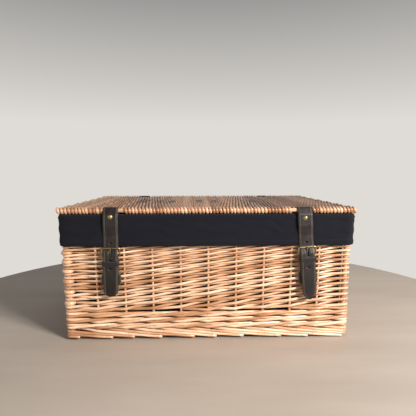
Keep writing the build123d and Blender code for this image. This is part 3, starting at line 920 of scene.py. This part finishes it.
def cloth_mesh(name, rows, downs, material, closed_end=False):
    """Sheet of cloth from rows of points round the basket, given a thickness on both sides."""
    grid = np.array(rows)
    count, columns = grid.shape[:2]
    across = np.roll(grid, -1, axis=1) - np.roll(grid, 1, axis=1)
    normal = unit(np.cross(np.gradient(grid, axis=0), across))
    total = count * columns
    faces = ring_faces(count, columns)
    faces += [tuple(total + v for v in reversed(face)) for face in faces]
    last = (count - 1) * columns
    for k in range(columns):
        b = (k + 1) % columns
        faces.append((k, b, total + b, total + k))
        if not closed_end:
            faces.append((last + b, last + k, total + last + k, total + last + b))
    if closed_end:
        faces.append(tuple(last + k for k in reversed(range(columns))))
        faces.append(tuple(total + last + k for k in range(columns)))
    mesh = add_mesh(name, np.stack([grid + normal * CLOTH / 2, grid - normal * CLOTH / 2]), faces)
    weave = np.zeros((count, columns, 3))
    weave[..., 0] = PLACES
    weave[..., 1] = downs[:, None]
    attach(mesh, "weave", np.concatenate([weave, weave]))
    return finished(mesh, name, material, "basket")


def cloth_finish():
    """Dark navy cotton: plain weave, slubs, faded ridges and a soft sheen."""
    n = Nodes("liner_cotton")
    weave = n.attribute("weave", "Vector")
    warp, weft = (n.math("SINE", n.times(part, 2 * math.pi / THREAD)) for part in n.parts(weave)[:2])
    threads = n.times(warp, weft)
    slubs = n.noise(n.scaled(weave, (0.05, 1.4, 1.0)), detail=3.0)
    slubs_down = n.noise(n.scaled(weave, (1.4, 0.05, 1.0)), detail=3.0)
    slow_variation = n.noise(n.scaled(weave, (0.012, 0.02, 1.0)), detail=4.0)
    slubs = n.plus(slubs, slubs_down)
    shade = n.plus(n.times(slubs, 0.3), n.times(slow_variation, 0.4))
    colour = n.ramp(n.plus(shade, n.times(threads, 0.05)), COTTON_STOPS)
    normal = n.bump(n.plus(n.times(threads, 0.5), slubs), 0.35, 0.7)
    roughness = n.between(slow_variation, 0.3, 0.7, 0.82, 0.94)
    gloss = {"Sheen_Weight": 0.06, "Sheen_Roughness": 0.4, "Specular_IOR_Level": 0.2}
    return n.finish(colour, roughness, normal, **gloss)


cotton = cloth_finish()

SKIRT_ROWS = 18
CUFF_FRAMES = 24
HEM = 9.0  # height of the sewn hem
RIM_ROUNDING = 2.2
CREASE_COUNT = 2.6  # creases across the cuff's height
CREASE_DEPTH = 0.22  # of the room that the cuff has
SETTLED = 0.55  # share of the fallen shape, against the gathered one it falls from
COTTON_CLOTH = {
    "quality": 5,
    "mass": 0.12,
    "tension_stiffness": 20,
    "compression_stiffness": 20,
    "shear_stiffness": 8,
    "bending_stiffness": 0.02,
    "air_damping": 2,
}


def cuff_room():
    """How far each column of the cuff may stand out from the walls, and how full it is."""
    room, fullness = np.empty(len(COLUMNS)), np.empty(len(COLUMNS))
    points = ring_points(0.0, cuff_high[2])
    for k, (side, share, angle) in enumerate(COLUMNS):
        from_strap = abs(abs(points[k, 0]) - STRAP_X) - STRAP_WIDTH / 2
        if side in (0, 2):
            loose = min(max((from_strap - 2.0) / 14.0, 0.0), 1.0)
            room[k] = 1.0 + 1.6 * loose
            fullness[k] = 0.35 + 1.7 * loose * (1.0 if side == 2 else 0.65)
        else:
            room[k] = 3.4
            fullness[k] = 3.2
        if abs(share) >= 0.97:
            room[k] = 2.2
            fullness[k] = 1.2
    soften = np.ones(9) / 9
    smooth = [np.convolve(np.concatenate([v[-4:], v, v[:4]]), soften, "valid") for v in (room, fullness)]
    return smooth[0], smooth[1]


def hung_skirt():
    """Hanging part of the cuff: cloth with some slack, pinned along the rim and left to fall."""
    room, fullness = cuff_room()
    drops = np.linspace(0.0, 1.0, SKIRT_ROWS + 1)
    top, hem = cuff_high[2] - CLOTH / 2 - RIM_ROUNDING, cuff_low[2] + 0.3
    waves = 0.5 + 0.5 * np.clip(folds(5, (26.0, 41.0, 90.0)), -1, 1)
    rows = []
    for drop in drops:
        z = top + (hem - top) * drop
        out = CUFF_OUT + fullness * waves * min(drop * 2.5, 1.0) ** 0.8
        points = ring_points(0.0, z)
        points[:, :2] += NORMALS * out[:, None]
        rows.append(points)
    grid = np.array(rows)
    fallen = settle(grid)
    creases = folds(13, (60.0, 95.0))
    for n, drop in enumerate(drops):
        base = ring_points(0.0, grid[n, 0, 2])
        made, hangs = (((rows[n][:, :2] - base[:, :2]) * NORMALS).sum(axis=1) for rows in (grid, fallen))
        bulge = np.sin(2 * math.pi * (drop * CREASE_COUNT + 0.35 * creases)) * CREASE_DEPTH * room
        out = made * (1 - SETTLED) + hangs * SETTLED + bulge * min(drop * 4, 1.0)
        held = np.clip(out, 0.75, 0.75 + room)
        grid[n, :, :2] = base[:, :2] + NORMALS * held[:, None]
    return grid


def settle(grid):
    """Lets the skirt fall against the walls for some frames and gives back where it hangs."""
    count, columns = grid.shape[:2]
    faces = ring_faces(count, columns)
    wall_points = [ring_points(0.25, z) for z in np.linspace(rim_high[2] + 1, 150.0, count)]
    falling = add_object("falling", add_mesh("falling", grid, faces))
    walls = add_object("walls", add_mesh("walls", wall_points, faces))
    walls.modifiers.new("collision", "COLLISION")
    walls.collision.thickness_outer = 0.0004
    falling.vertex_groups.new(name="pins").add(list(range(columns)), 1.0, "REPLACE")
    cloth = falling.modifiers.new("cloth", "CLOTH")
    for key, value in COTTON_CLOTH.items():
        setattr(cloth.settings, key, value)
    cloth.settings.vertex_group_mass = "pins"
    cloth.collision_settings.distance_min = 0.0005
    cloth.point_cache.frame_end = CUFF_FRAMES
    scene = bpy.context.scene
    for frame_number in range(1, CUFF_FRAMES + 1):
        scene.frame_set(frame_number)
    fallen = falling.evaluated_get(bpy.context.evaluated_depsgraph_get()).data
    places = np.empty(len(fallen.vertices) * 3)
    fallen.vertices.foreach_get("co", places)
    for piece in (falling, walls):
        bpy.data.objects.remove(piece, do_unlink=True)
    scene.frame_set(1)
    return places.reshape(grid.shape) / MM


def make_cuff():
    """Cloth turned over the rim and down outside, with its sewn hem."""
    top = cuff_high[2] - CLOTH / 2
    rows = [ring_points(inset, top) for inset in (MOUTH_INSET, 12.0, 8.0, 4.5, 2.2)]
    middle = RIM_ROUNDING - CUFF_OUT
    for angle in np.radians((0, 22.5, 45, 67.5)):
        z = top - RIM_ROUNDING * (1 - math.cos(angle))
        rows.append(ring_points(middle - RIM_ROUNDING * math.sin(angle), z))
    skirt = hung_skirt()
    hem_z = skirt[-1, :, 2].mean()
    for points in skirt:
        above = points[:, 2].mean() - hem_z
        swell = 0.35 if above < HEM - 1.0 else 0.0
        if abs(above - HEM) < 1.6:
            swell = -0.1
        points[:, :2] += NORMALS * swell
        rows.append(points)
    rows.append(skirt[-1] - (0.0, 0.0, 0.6) - np.pad(NORMALS, ((0, 0), (0, 1))) * 0.5)
    downs = row_places(rows)
    cuff = cloth_mesh("cuff_cloth", rows, downs, cotton)
    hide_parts("liner_cuff")
    stitches = Rods(seed=41, sides=5)
    seam = [row for row in skirt if row[:, 2].mean() - hem_z > HEM - 1.6][-1]
    for k in range(len(COLUMNS)):
        a, b = seam[k], seam[(k + 1) % len(COLUMNS)]
        out = np.append(NORMALS[k], 0.0) * (CLOTH / 2 - 0.05)
        path = [a + (b - a) * t + out * (1 - 0.6 * abs(2 * t - 0.96)) for t in (0.12, 0.5, 0.84)]
        stitches.add(path, 0.26, (0, 0, 1))
    sewn = stitches.build("hem_stitches", hem_thread, "basket")


BAG_WALL_ROWS = 26
BAG_CORNER = 7.0
FLOOR_ROWS = 16


def make_bag():
    """Cloth bag inside: walls gathered a little at the rim, and a floor that lies on the weave."""
    gathers = folds(7, (34.0, 58.0, 120.0))
    broad = folds(9, (150.0, 210.0))
    top, low = bag_high[2] - 0.6, bag_low[2] + 0.6
    rows = []
    for share in np.linspace(0, 1, BAG_WALL_ROWS):
        z = top + (low + BAG_CORNER - top) * share
        inward = (0.5 + 0.5 * gathers) * 1.3 * (1 - share) ** 0.7
        inward += (0.5 + 0.5 * broad) * 2.6 * math.sin(math.pi * share)
        points = ring_points(MOUTH_INSET, z)
        points[:, :2] -= NORMALS * np.maximum(inward, 0.0)[:, None]
        rows.append(points)
    base = MOUTH_INSET + BAG_CORNER
    for angle in np.radians((30, 60, 90)):
        z = low + BAG_CORNER * (1 - math.sin(angle))
        rows.append(ring_points(base - BAG_CORNER * math.cos(angle), z))
    reach = half_depth(low) - base - 2 * LEAST_CORNER
    for share in np.linspace(0, 1, FLOOR_ROWS)[1:]:
        points = ring_points(base + reach * share, low)
        points[:, 2] += 0.5 * (1 + broad) * math.sin(math.pi * share)
        rows.append(points)
    bag = cloth_mesh("bag_cloth", rows, row_places(rows), cotton, closed_end=True)
    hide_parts("liner_bag")


# ---- leather
LEATHER = 2.0
CHAPE_LEATHER = 2.2
KEEPER_LEATHER = 1.4
LEG_MEET = 6.5  # below a stick's axis, where a loop's two legs come together
FOLD_TURN = 1.6
LOOP_INNER = 4.0  # inner radius of a strap's loop
WIRE = 2.8
PIVOT = 76.0  # the buckle's bar, below the front stick's axis
FRAME_LENGTH = 13.9
FRAME_TILT = math.radians(14.5)
LEAN = {"left": -0.65, "right": 4.65}  # in degrees; the drops below are from the stick's axis
RIVET_DROP = {"left": 9.8, "right": 12.5}
TAIL_TIP = {"left": 146.0, "right": 155.0}
KEEPER_DROP = {"left": 88.9, "right": 83.5}
KEEPER_HEIGHT = 7.6
BUCKLED_HOLE = 68.8
HOLE_SPACING = 14.4
HOLE = (1.5, 0.0)  # radius, and half the straight length
PRONG_HOLE_DROP = 71.0
PRONG_HOLE = (1.35, 5.6)
CHAPE_SLOT = (2.4, 7.1)
HINGE_END = 44.0
STITCH = 2.3
STITCH_PITCH = 3.3
STITCH_INSET = 3.1
THREAD_RADIUS = 0.36

cuff_face = middle_y - cuff_low[1] - (middle_y - front_axis_y)
LEG_INNER = cuff_face + 1.3 + LEATHER / 2
LEG_OUTER = LEG_INNER + LEATHER + 0.1
wall_face = half_depth(stick_z - PIVOT) - (middle_y - front_axis_y)
CHAPE_BACK = wall_face + 0.3 + CHAPE_LEATHER / 2
BAR = CHAPE_BACK + WIRE / 2 + 0.1 + CHAPE_LEATHER / 2
CHAPE_FRONT = BAR + WIRE / 2 + 0.1 + CHAPE_LEATHER / 2
OVER_BAR = CHAPE_FRONT + CHAPE_LEATHER / 2 + 0.3 + LEATHER / 2
END_BAR = BAR + FRAME_LENGTH * math.sin(FRAME_TILT)
BEHIND_BAR = END_BAR - WIRE / 2 - 1.1 - LEATHER / 2
KEEPER_FRONT = OVER_BAR + LEATHER / 2 + 0.4 + KEEPER_LEATHER


def leather_finish(name, stops, edge_colour):
    """Vegetable-tanned leather: pebbled grain, creases, darker pores and burnished edges."""
    n = Nodes(name)
    grain = n.attribute("grain", "Vector")
    edge = n.attribute("edge", "Fac")
    pebbles = n.node("ShaderNodeTexVoronoi", feature="SMOOTH_F1")
    n.link(grain, pebbles.inputs["Vector"])
    pebbles.inputs["Scale"].default_value = 0.9
    pebble = n.between(pebbles.outputs["Distance"], 0.15, 0.75, 1.0, 0.0)
    cloud = n.noise(n.scaled(grain, (0.06, 0.03, 0.06)), detail=4.0)
    creases = n.noise(n.scaled(grain, (0.12, 0.7, 0.3)), detail=3.0, distortion=0.4)
    fine = n.noise(n.scaled(grain, (2.6, 2.6, 2.6)), detail=2.0)
    shade = n.plus(n.times(cloud, 0.65), n.times(fine, 0.35))
    colour = n.ramp(shade, stops)
    rubbed = n.times(edge, n.between(creases, 0.3, 0.6, 0.55, 1.0))
    colour = n.mix(rubbed, colour, edge_colour)
    height = n.plus(n.times(pebble, 0.5), n.times(creases, 0.8))
    normal = n.bump(n.plus(height, n.times(fine, 0.25)), 0.3, 0.9)
    roughness = n.between(cloud, 0.3, 0.7, 0.4, 0.56)
    gloss = {"Coat_Weight": 0.08, "Coat_Roughness": 0.3, "Specular_IOR_Level": 0.4}
    return n.finish(colour, roughness, normal, **gloss)


dark_stops = ((0.35, 0.005, 0.0028, 0.0025), (0.5, 0.011, 0.0065, 0.006), (0.66, 0.024, 0.016, 0.014))
strap_hide = leather_finish("strap_hide", dark_stops, (0.050, 0.037, 0.026, 1))


def thread_finish(name, stops):
    """Waxed thread with its twist."""
    n = Nodes(name)
    grain = n.attribute("grain", "Vector")
    twist = n.noise(n.scaled(grain, (2.0, 4.0, 4.0)), detail=2.0)
    colour = n.ramp(twist, stops)
    return n.finish(colour, n.between(twist, 0.3, 0.7, 0.5, 0.7), n.bump(twist, 0.1, 0.6))


thread = thread_finish("waxed_thread", ((0.35, 0.07, 0.062, 0.052), (0.65, 0.17, 0.15, 0.12)))
hem_thread = thread_finish("hem_thread", ((0.35, 0.006, 0.007, 0.013), (0.65, 0.018, 0.018, 0.028)))


def filleted(points, radius):
    """Polyline with its corners rounded, as dense points."""
    points = [np.array(p, float) for p in points]
    path = [points[0]]
    for before, corner, after in zip(points, points[1:], points[2:]):
        back, on = before - corner, after - corner
        back_length, on_length = np.linalg.norm(back), np.linalg.norm(on)
        back, on = back / back_length, on / on_length
        half_angle = math.acos(max(-1.0, min(1.0, float(back @ on)))) / 2
        if half_angle > math.pi / 2 - 0.001:
            continue
        reach = min(radius / math.tan(half_angle), 0.48 * back_length, 0.48 * on_length)
        for t in np.linspace(0, 1, 7):
            a, b = corner + back * reach * (1 - t), corner + on * reach * t
            path.append(a + (b - a) * t)
    path.append(points[-1])
    return path


def fold_path(outer_out, inner_out, inner_end, circle):
    """Leather's line from its inner end up, round a stick and on to where its legs meet."""
    distance = math.hypot(outer_out, LEG_MEET)
    straight = math.sqrt(distance**2 - circle**2)
    leaves = math.pi - math.atan2(straight, circle) + math.atan2(LEG_MEET, outer_out)
    under = filleted(((-inner_out, -inner_end), (-inner_out, -circle), (0, -circle)), FOLD_TURN)
    around = [
        (circle * math.cos(angle), circle * math.sin(angle))
        for angle in np.linspace(-math.pi / 2, leaves, 22)[1:]
    ]
    return [tuple(p) for p in under] + around, (-outer_out, -LEG_MEET)


def even(path, step):
    """The same path with evenly spaced points, and how far along each one is."""
    path = np.array([tuple(p) for p in path], float)
    lengths = distances(path)
    keep = np.concatenate(([True], np.diff(lengths) > 1e-6))
    path, lengths = path[keep], lengths[keep]
    runs = np.linspace(0, lengths[-1], int(lengths[-1] / step) + 1)
    return np.stack([np.interp(runs, lengths, path[:, k]) for k in range(path.shape[1])], axis=1), runs


ACROSS = (0.0, 0.028, 0.075, 0.14, 0.3, 0.5, 0.7, 0.86, 0.925, 0.972, 1.0)  # over the width
FULL = (0.0, 0.66, 0.93, 1.0, 1.0, 1.0, 1.0, 1.0, 0.93, 0.66, 0.0)  # thickness there
EDGE = (1.0, 1.0, 0.55, 0.0, 0.0, 0.0, 0.0, 0.0, 0.55, 1.0, 1.0)


def leather_mesh(path, half_widths, thickness, side, closed=False):
    """Strip with rounded edges along 3-D points; side is the direction of its width."""
    path = np.asarray(path, float)
    side = np.asarray(side, float)
    if closed:
        tangent = np.roll(path, -1, axis=0) - np.roll(path, 1, axis=0)
    else:
        tangent = np.gradient(path, axis=0)
    out = np.cross(side, unit(tangent))
    run = distances(path)
    outline = [(2 * a - 1, f / 2, e) for a, f, e in zip(ACROSS, FULL, EDGE)]
    outline += [(a, -f, e) for a, f, e in outline[-2:0:-1]]
    sides = len(outline)
    points, grain, edge = [], [], []
    for place, normal, half, length in zip(path, out, np.broadcast_to(half_widths, (len(path),)), run):
        for a, f, e in outline:
            points.append(place + side * a * half + normal * f * thickness)
            grain.append((a * half, length, f * thickness))
            edge.append(e)
    faces = []
    rows = len(path)
    for row in range(rows if closed else rows - 1):
        following = (row + 1) % rows
        for k in range(sides):
            on = (k + 1) % sides
            low, high = row * sides, following * sides
            faces.append((low + k, low + on, high + on, high + k))
    if not closed:
        for row, flip in ((0, True), (rows - 1, False)):
            for k in range(len(ACROSS) - 1):
                around = (k, k + 1, sides - k - 1, (sides - k) % sides)
                face = list(dict.fromkeys(row * sides + v for v in around))
                faces.append(tuple(face if flip else face[::-1]))
        edge[:sides] = [1.0] * sides
        edge[-sides:] = [1.0] * sides
    return np.array(points), faces, np.array(grain), np.array(edge)


def leather_piece(name, side, strip, body):
    """Object of a leather strip, put into its strap's place if it has one."""
    points, faces, grain, edge = strip
    mesh = add_mesh(name, placed(side, points) if side else points, faces)
    turned = bmesh.new()
    turned.from_mesh(mesh)
    bmesh.ops.recalc_face_normals(turned, faces=turned.faces)
    turned.to_mesh(mesh)
    turned.free()
    attach(mesh, "grain", grain)
    attach(mesh, "edge", edge)
    piece = finished(mesh, name, strap_hide, body)
    return piece


PUNCH_SIDES = 20
PUNCH_REACH = 14.0


def punched(piece, holes, lean=0.0):
    """Cuts round holes and slots through a piece, from front to back.

    Each is a centre, a radius and half the straight length of a slot. Lean is X for each Z.
    """
    for centre, radius, slot in holes:
        points = []
        for y in (-PUNCH_REACH, PUNCH_REACH):
            for k in range(PUNCH_SIDES):
                angle = 2 * math.pi * k / PUNCH_SIDES
                z = radius * math.sin(angle)
                z += math.copysign(slot, z) if slot else 0.0
                x = radius * math.cos(angle) + z * lean
                points.append((centre[0] + x, centre[1] + y, centre[2] + z))
        near, far = range(PUNCH_SIDES), range(PUNCH_SIDES, 2 * PUNCH_SIDES)
        faces = [(far[k], far[k - PUNCH_SIDES + 1], near[k - PUNCH_SIDES + 1], near[k]) for k in near]
        faces += [tuple(near), tuple(reversed(far))]
        punch = add_object("punch", add_mesh("punch", points, faces))
        cut = piece.modifiers.new("cut", "BOOLEAN")
        cut.operation = "DIFFERENCE"
        cut.object = punch
        bpy.context.view_layer.update()
        evaluated = piece.evaluated_get(bpy.context.evaluated_depsgraph_get())
        result = bpy.data.meshes.new_from_object(evaluated)
        piece.modifiers.clear()
        piece.data = result
        bpy.data.objects.remove(punch, do_unlink=True)


def placed(side, points):
    """World points from a strap's own frame: below its rivet it leans."""
    x, y, z = np.array(points, float).T
    sign = -1 if side == "left" else 1
    turn = math.radians(-LEAN[side]) * np.clip((-RIVET_DROP[side] + 1.0 - z) / 2.0, 0.0, 1.0)
    z = z + RIVET_DROP[side]
    across = x * np.cos(turn) + z * np.sin(turn)
    up = -x * np.sin(turn) + z * np.cos(turn) - RIVET_DROP[side]
    return np.column_stack([across, y, up]) + (sign * STRAP_X, front_axis_y, stick_z)


def strap_line(side):
    """Line of a strap from its inner end to its tip."""
    fold, corner = fold_path(LEG_OUTER, LEG_INNER, 24.0, LOOP_INNER + LEATHER / 2)
    bar_z = -PIVOT
    rise = FRAME_LENGTH * math.cos(FRAME_TILT)
    hanging = filleted(
        (
            fold[-1],
            corner,
            (-LEG_OUTER, -26.0),
            (-BEHIND_BAR, -42.0),
            (-BEHIND_BAR, bar_z + rise + WIRE / 2 + 0.6),
            (-OVER_BAR, bar_z + WIRE),
            (-OVER_BAR, bar_z - 17.0),
            (-OVER_BAR + 1.0, bar_z - 30.0),
            (-OVER_BAR + 3.6, -TAIL_TIP[side]),
        ),
        4.0,
    )
    return fold + [tuple(p) for p in hanging[1:]]


TIP_SHAPE = {"left": (13.0, 2.3), "right": (16.0, 1.75)}  # length and roundness


def tip_outline(side, left_to_tip):
    """Half width of a strap near its tip: blunt and round on the left, more pointed on the right."""
    half = STRAP_WIDTH / 2
    reach, power = TIP_SHAPE[side]
    share = np.clip(1 - left_to_tip / reach, 0.0, 0.985)
    return half * (1 - share**power) ** (1 / power)


def make_strap(side):
    """One strap with its holes and the stitching along both edges."""
    line, runs = even(strap_line(side), 1.0)
    left = runs[-1] - runs
    halves = tip_outline(side, left)
    path = np.column_stack([np.zeros(len(line)), line])
    strip = leather_mesh(path, halves, LEATHER, (1, 0, 0))
    strap = leather_piece("strap_hide_" + side, side, strip, "strap_" + side)
    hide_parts("strap_" + side)
    holes = []
    for step in (-1, 1, 2):
        drop = BUCKLED_HOLE + step * HOLE_SPACING
        holes.append((placed(side, [(0, -OVER_BAR, -drop)])[0], *HOLE))
    holes.append((placed(side, [(0, -OVER_BAR, -PRONG_HOLE_DROP)])[0], *PRONG_HOLE))
    punched(strap, holes, lean=-math.tan(math.radians(LEAN[side])))

    stitches = Rods(seed=51 if side == "left" else 52, sides=5)
    out = unit(np.cross(np.gradient(path, axis=0), (1, 0, 0)))
    first = np.argmax(line[:, 1] > LOOP_INNER)
    for edge_sign in (-1, 1):
        place = float(runs[first]) + 4.0
        while place < runs[-1] - 5.0:
            path_points = []
            for share in (0.0, 0.5, 1.0):
                at = place + (share - 0.5) * STITCH
                middle = np.array([np.interp(at, runs, path[:, k]) for k in range(3)])
                normal = np.array([np.interp(at, runs, out[:, k]) for k in range(3)])
                half = float(np.interp(at, runs, halves)) - STITCH_INSET
                rise = LEATHER / 2 + (0.06 if share == 0.5 else -0.16)
                path_points.append(middle + normal * rise + np.array([edge_sign * half, 0, 0]))
            if half > 3.0:
                stitches.add(placed(side, path_points), THREAD_RADIUS, (1, 0, 0))
            place += STITCH_PITCH
    sewn = stitches.build("strap_stitches_" + side, thread, "strap_" + side)


def make_chape(side):
    """Leather that holds the buckle: front leg, fold round the bar, back leg with a broad foot."""
    bar_z = -PIVOT
    low = CHAPE_BACK + CHAPE_LEATHER + 0.1
    leg = ((-low, -35.0), (-low, -24.0), (-CHAPE_FRONT, -16.0), (-CHAPE_FRONT, 0.0))
    front = filleted([(out, bar_z + z) for out, z in leg], 3.0)
    circle = BAR - CHAPE_BACK
    fold = [
        (-BAR - circle * math.cos(angle), bar_z + circle * math.sin(angle))
        for angle in np.linspace(0, math.pi, 13)[1:]
    ]
    line, runs = even([*front, *fold, (-CHAPE_BACK, bar_z - 54.0)], 1.0)
    half = STRAP_WIDTH / 2
    depth_below = bar_z - line[:, 1]
    on_back = np.arange(len(line)) > len(line) / 2
    flare = np.clip((depth_below - 24.0) / 14.0, 0, 1)
    halves = np.where(on_back, half + 4.0 * flare * flare * (3 - 2 * flare), half)
    to_end = runs[-1] - runs
    round_off = np.clip(1 - to_end / 9.0, 0, 1)
    halves = halves - np.where(on_back, 9.0 * (1 - np.sqrt(1 - round_off**2 * 0.99)), 0)
    path = np.column_stack([np.zeros(len(line)), line])
    strip = leather_mesh(path, halves, CHAPE_LEATHER, (1, 0, 0))
    chape = leather_piece("chape_hide_" + side, side, strip, "basket")
    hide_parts("chape_" + side)
    punched(chape, [(placed(side, [(0, -BAR, bar_z + 0.5)])[0], *CHAPE_SLOT)])


def make_keeper(side):
    """Narrow leather loop round the strap's tail."""
    inner_back = CHAPE_BACK + CHAPE_LEATHER / 2 + 0.4 + KEEPER_LEATHER / 2
    front = KEEPER_FRONT - KEEPER_LEATHER / 2
    half = STRAP_WIDTH / 2 + 0.4 + KEEPER_LEATHER / 2
    corners = ((-half, -front), (half, -front), (half, -inner_back), (-half, -inner_back))
    loop = filleted((corners[-1], *corners, corners[0]), 1.6)[1:-1]
    flat = even([*loop, loop[0]], 0.8)[0][:-1]
    path = np.column_stack([flat, np.full(len(flat), -KEEPER_DROP[side])])
    strip = leather_mesh(path, KEEPER_HEIGHT / 2, KEEPER_LEATHER, (0, 0, 1), closed=True)
    keeper = leather_piece("keeper_hide_" + side, side, strip, "basket")
    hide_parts("keeper_" + side)


def make_hinge(side):
    """Leather loop round the lid's back stick, riveted down the back."""
    sign = -1 if side == "left" else 1
    fold, corner = fold_path(LEG_OUTER, LEG_INNER, HINGE_END, stick_radius + 0.3 + LEATHER / 2)
    outer = filleted((fold[-1], corner, (-LEG_OUTER, -HINGE_END)), 4.0)
    line, runs = even(fold + [tuple(p) for p in outer[1:]], 1.0)
    path = np.column_stack([np.zeros(len(line)), -line[:, 0], line[:, 1]])
    ends = np.minimum(runs, runs[-1] - runs)
    corner_cut = 2.5 * (1 - np.sqrt(1 - np.clip(1 - ends / 2.5, 0, 1) ** 2))
    path += (sign * HINGE_X, back_axis_y, stick_z)
    strip = leather_mesh(path, STRAP_WIDTH / 2 - corner_cut, LEATHER, (-1, 0, 0))
    hinge = leather_piece("hinge_hide_" + side, None, strip, "basket")
    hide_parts("hinge_loop_" + side)


make_cuff()
make_bag()
for strap_side in ("left", "right"):
    make_strap(strap_side)
    make_chape(strap_side)
    make_keeper(strap_side)
    make_hinge(strap_side)


# ---- finishes of the CAD pieces
def brass_finish():
    """Antique brass: worn bright in places, dull brown patina in others, with fine scratches."""
    n = Nodes("antique_brass")
    place = n.scaled(n.place(), PER_METRE)
    patina = n.noise(place, scale=0.45, detail=5.0, roughness=0.65)
    scratches = n.noise(n.scaled(place, (1.0, 8.0, 1.0)), scale=1.6, detail=3.0)
    colour = n.ramp(
        patina, ((0.36, 0.13, 0.085, 0.04), (0.5, 0.36, 0.27, 0.13), (0.66, 0.62, 0.50, 0.28))
    )
    roughness = n.between(n.plus(patina, n.times(scratches, 0.4)), 0.5, 0.95, 0.5, 0.24)
    normal = n.bump(n.plus(patina, scratches), 0.08, 0.5)
    return n.finish(colour, roughness, normal, Metallic=1.0)


def give(material, *nodes):
    """Gives CAD nodes a material."""
    for name in nodes:
        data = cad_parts[name].data
        data.materials.clear()
        data.materials.append(material)
        data.polygons.foreach_set("material_index", [0] * len(data.polygons))


give(willow_upright, "stakes_front", "stakes_back", "stakes_left", "stakes_right")
for corner in ("front_left", "front_right", "back_left", "back_right"):
    give(willow_upright, "corner_post_" + corner)
brass = brass_finish()
give(brass, "chape_rivets", "hinge_rivets", "strap_rivet_left", "strap_rivet_right")
give(brass, "buckle_frame_left", "buckle_frame_right", "buckle_prong_left", "buckle_prong_right")
give(willow_stick, "lid_front_stick", "lid_back_stick", "lid_inner_sticks", "base_sticks")


# ---- camera, floor and light
CAMERA = (-23.9, -840.4, 289.1)
CAMERA_TURN = 0.0348  # to the right, in radians
CAMERA_DIP = 0.0868  # downwards
CAMERA_LENS = 34.05
FLOOR_RADIUS = 620.0
FLOOR_SIDES = 96


def make_camera():
    """Camera low in front of the basket, slightly to its left."""
    data = bpy.data.cameras.new("camera")
    data.lens = CAMERA_LENS
    data.clip_start = 0.02
    camera = add_object("camera", data)
    camera.location = [value * MM for value in CAMERA]
    camera.rotation_euler = (math.pi / 2 - CAMERA_DIP, 0, -CAMERA_TURN)
    bpy.context.scene.camera = camera


def make_floor():
    """Plain pale round floor."""
    rim = [2 * math.pi * k / FLOOR_SIDES for k in range(FLOOR_SIDES)]
    points = [(FLOOR_RADIUS * math.cos(angle), FLOOR_RADIUS * math.sin(angle), 0.0) for angle in rim]
    mesh = add_mesh("floor", points, [tuple(range(FLOOR_SIDES))])
    n = Nodes("floor")
    cloud = n.noise(n.scaled(n.place(), (1.0, 5.0, 1.0)), scale=3.0)
    colour = n.ramp(cloud, ((0.3, 0.40, 0.34, 0.285), (0.7, 0.46, 0.395, 0.335)))
    mesh.materials.append(n.finish(colour, 0.55))
    add_object("floor", mesh)


def area_light(name, place, target, size, power, colour):
    """Soft square light that looks at a point."""
    data = bpy.data.lights.new(name, "AREA")
    data.size = size
    data.energy = power
    data.color = colour
    light = add_object(name, data)
    light.location = place
    aim = Vector(target) - Vector(place)
    light.rotation_euler = aim.to_track_quat("-Z", "Y").to_euler()


def make_light():
    """Window light from the front right, with a weak fill and a bright plain surround."""
    area_light("key", (1.15, -1.3, 0.95), (0.05, 0, 0.1), 0.45, 58, (1.0, 0.965, 0.92))
    area_light("fill", (-1.8, -1.6, 0.8), (0, 0, 0.1), 1.6, 3, (0.86, 0.92, 1.0))
    area_light("top", (0.3, 0.5, 1.9), (0, 0, 0.1), 1.2, 5, (1.0, 0.97, 0.93))
    world = bpy.data.worlds.new("world")
    bpy.context.scene.world = world
    world.use_nodes = True
    nodes, links = world.node_tree.nodes, world.node_tree.links
    place = nodes.new("ShaderNodeTexCoord")
    parts = nodes.new("ShaderNodeSeparateXYZ")
    ramp = nodes.new("ShaderNodeValToRGB")
    links.new(place.outputs["Generated"], parts.inputs[0])
    links.new(parts.outputs[2], ramp.inputs[0])
    links.new(ramp.outputs[0], nodes["Background"].inputs[0])
    ramp.color_ramp.elements[0].position = 0.12
    ramp.color_ramp.elements[0].color = (0.74, 0.71, 0.67, 1)
    ramp.color_ramp.elements[1].position = 0.5
    ramp.color_ramp.elements[1].color = (0.16, 0.165, 0.17, 1)
    nodes["Background"].inputs[1].default_value = 1.0
    bpy.context.scene.view_settings.view_transform = "Standard"


make_camera()
make_floor()
make_light()
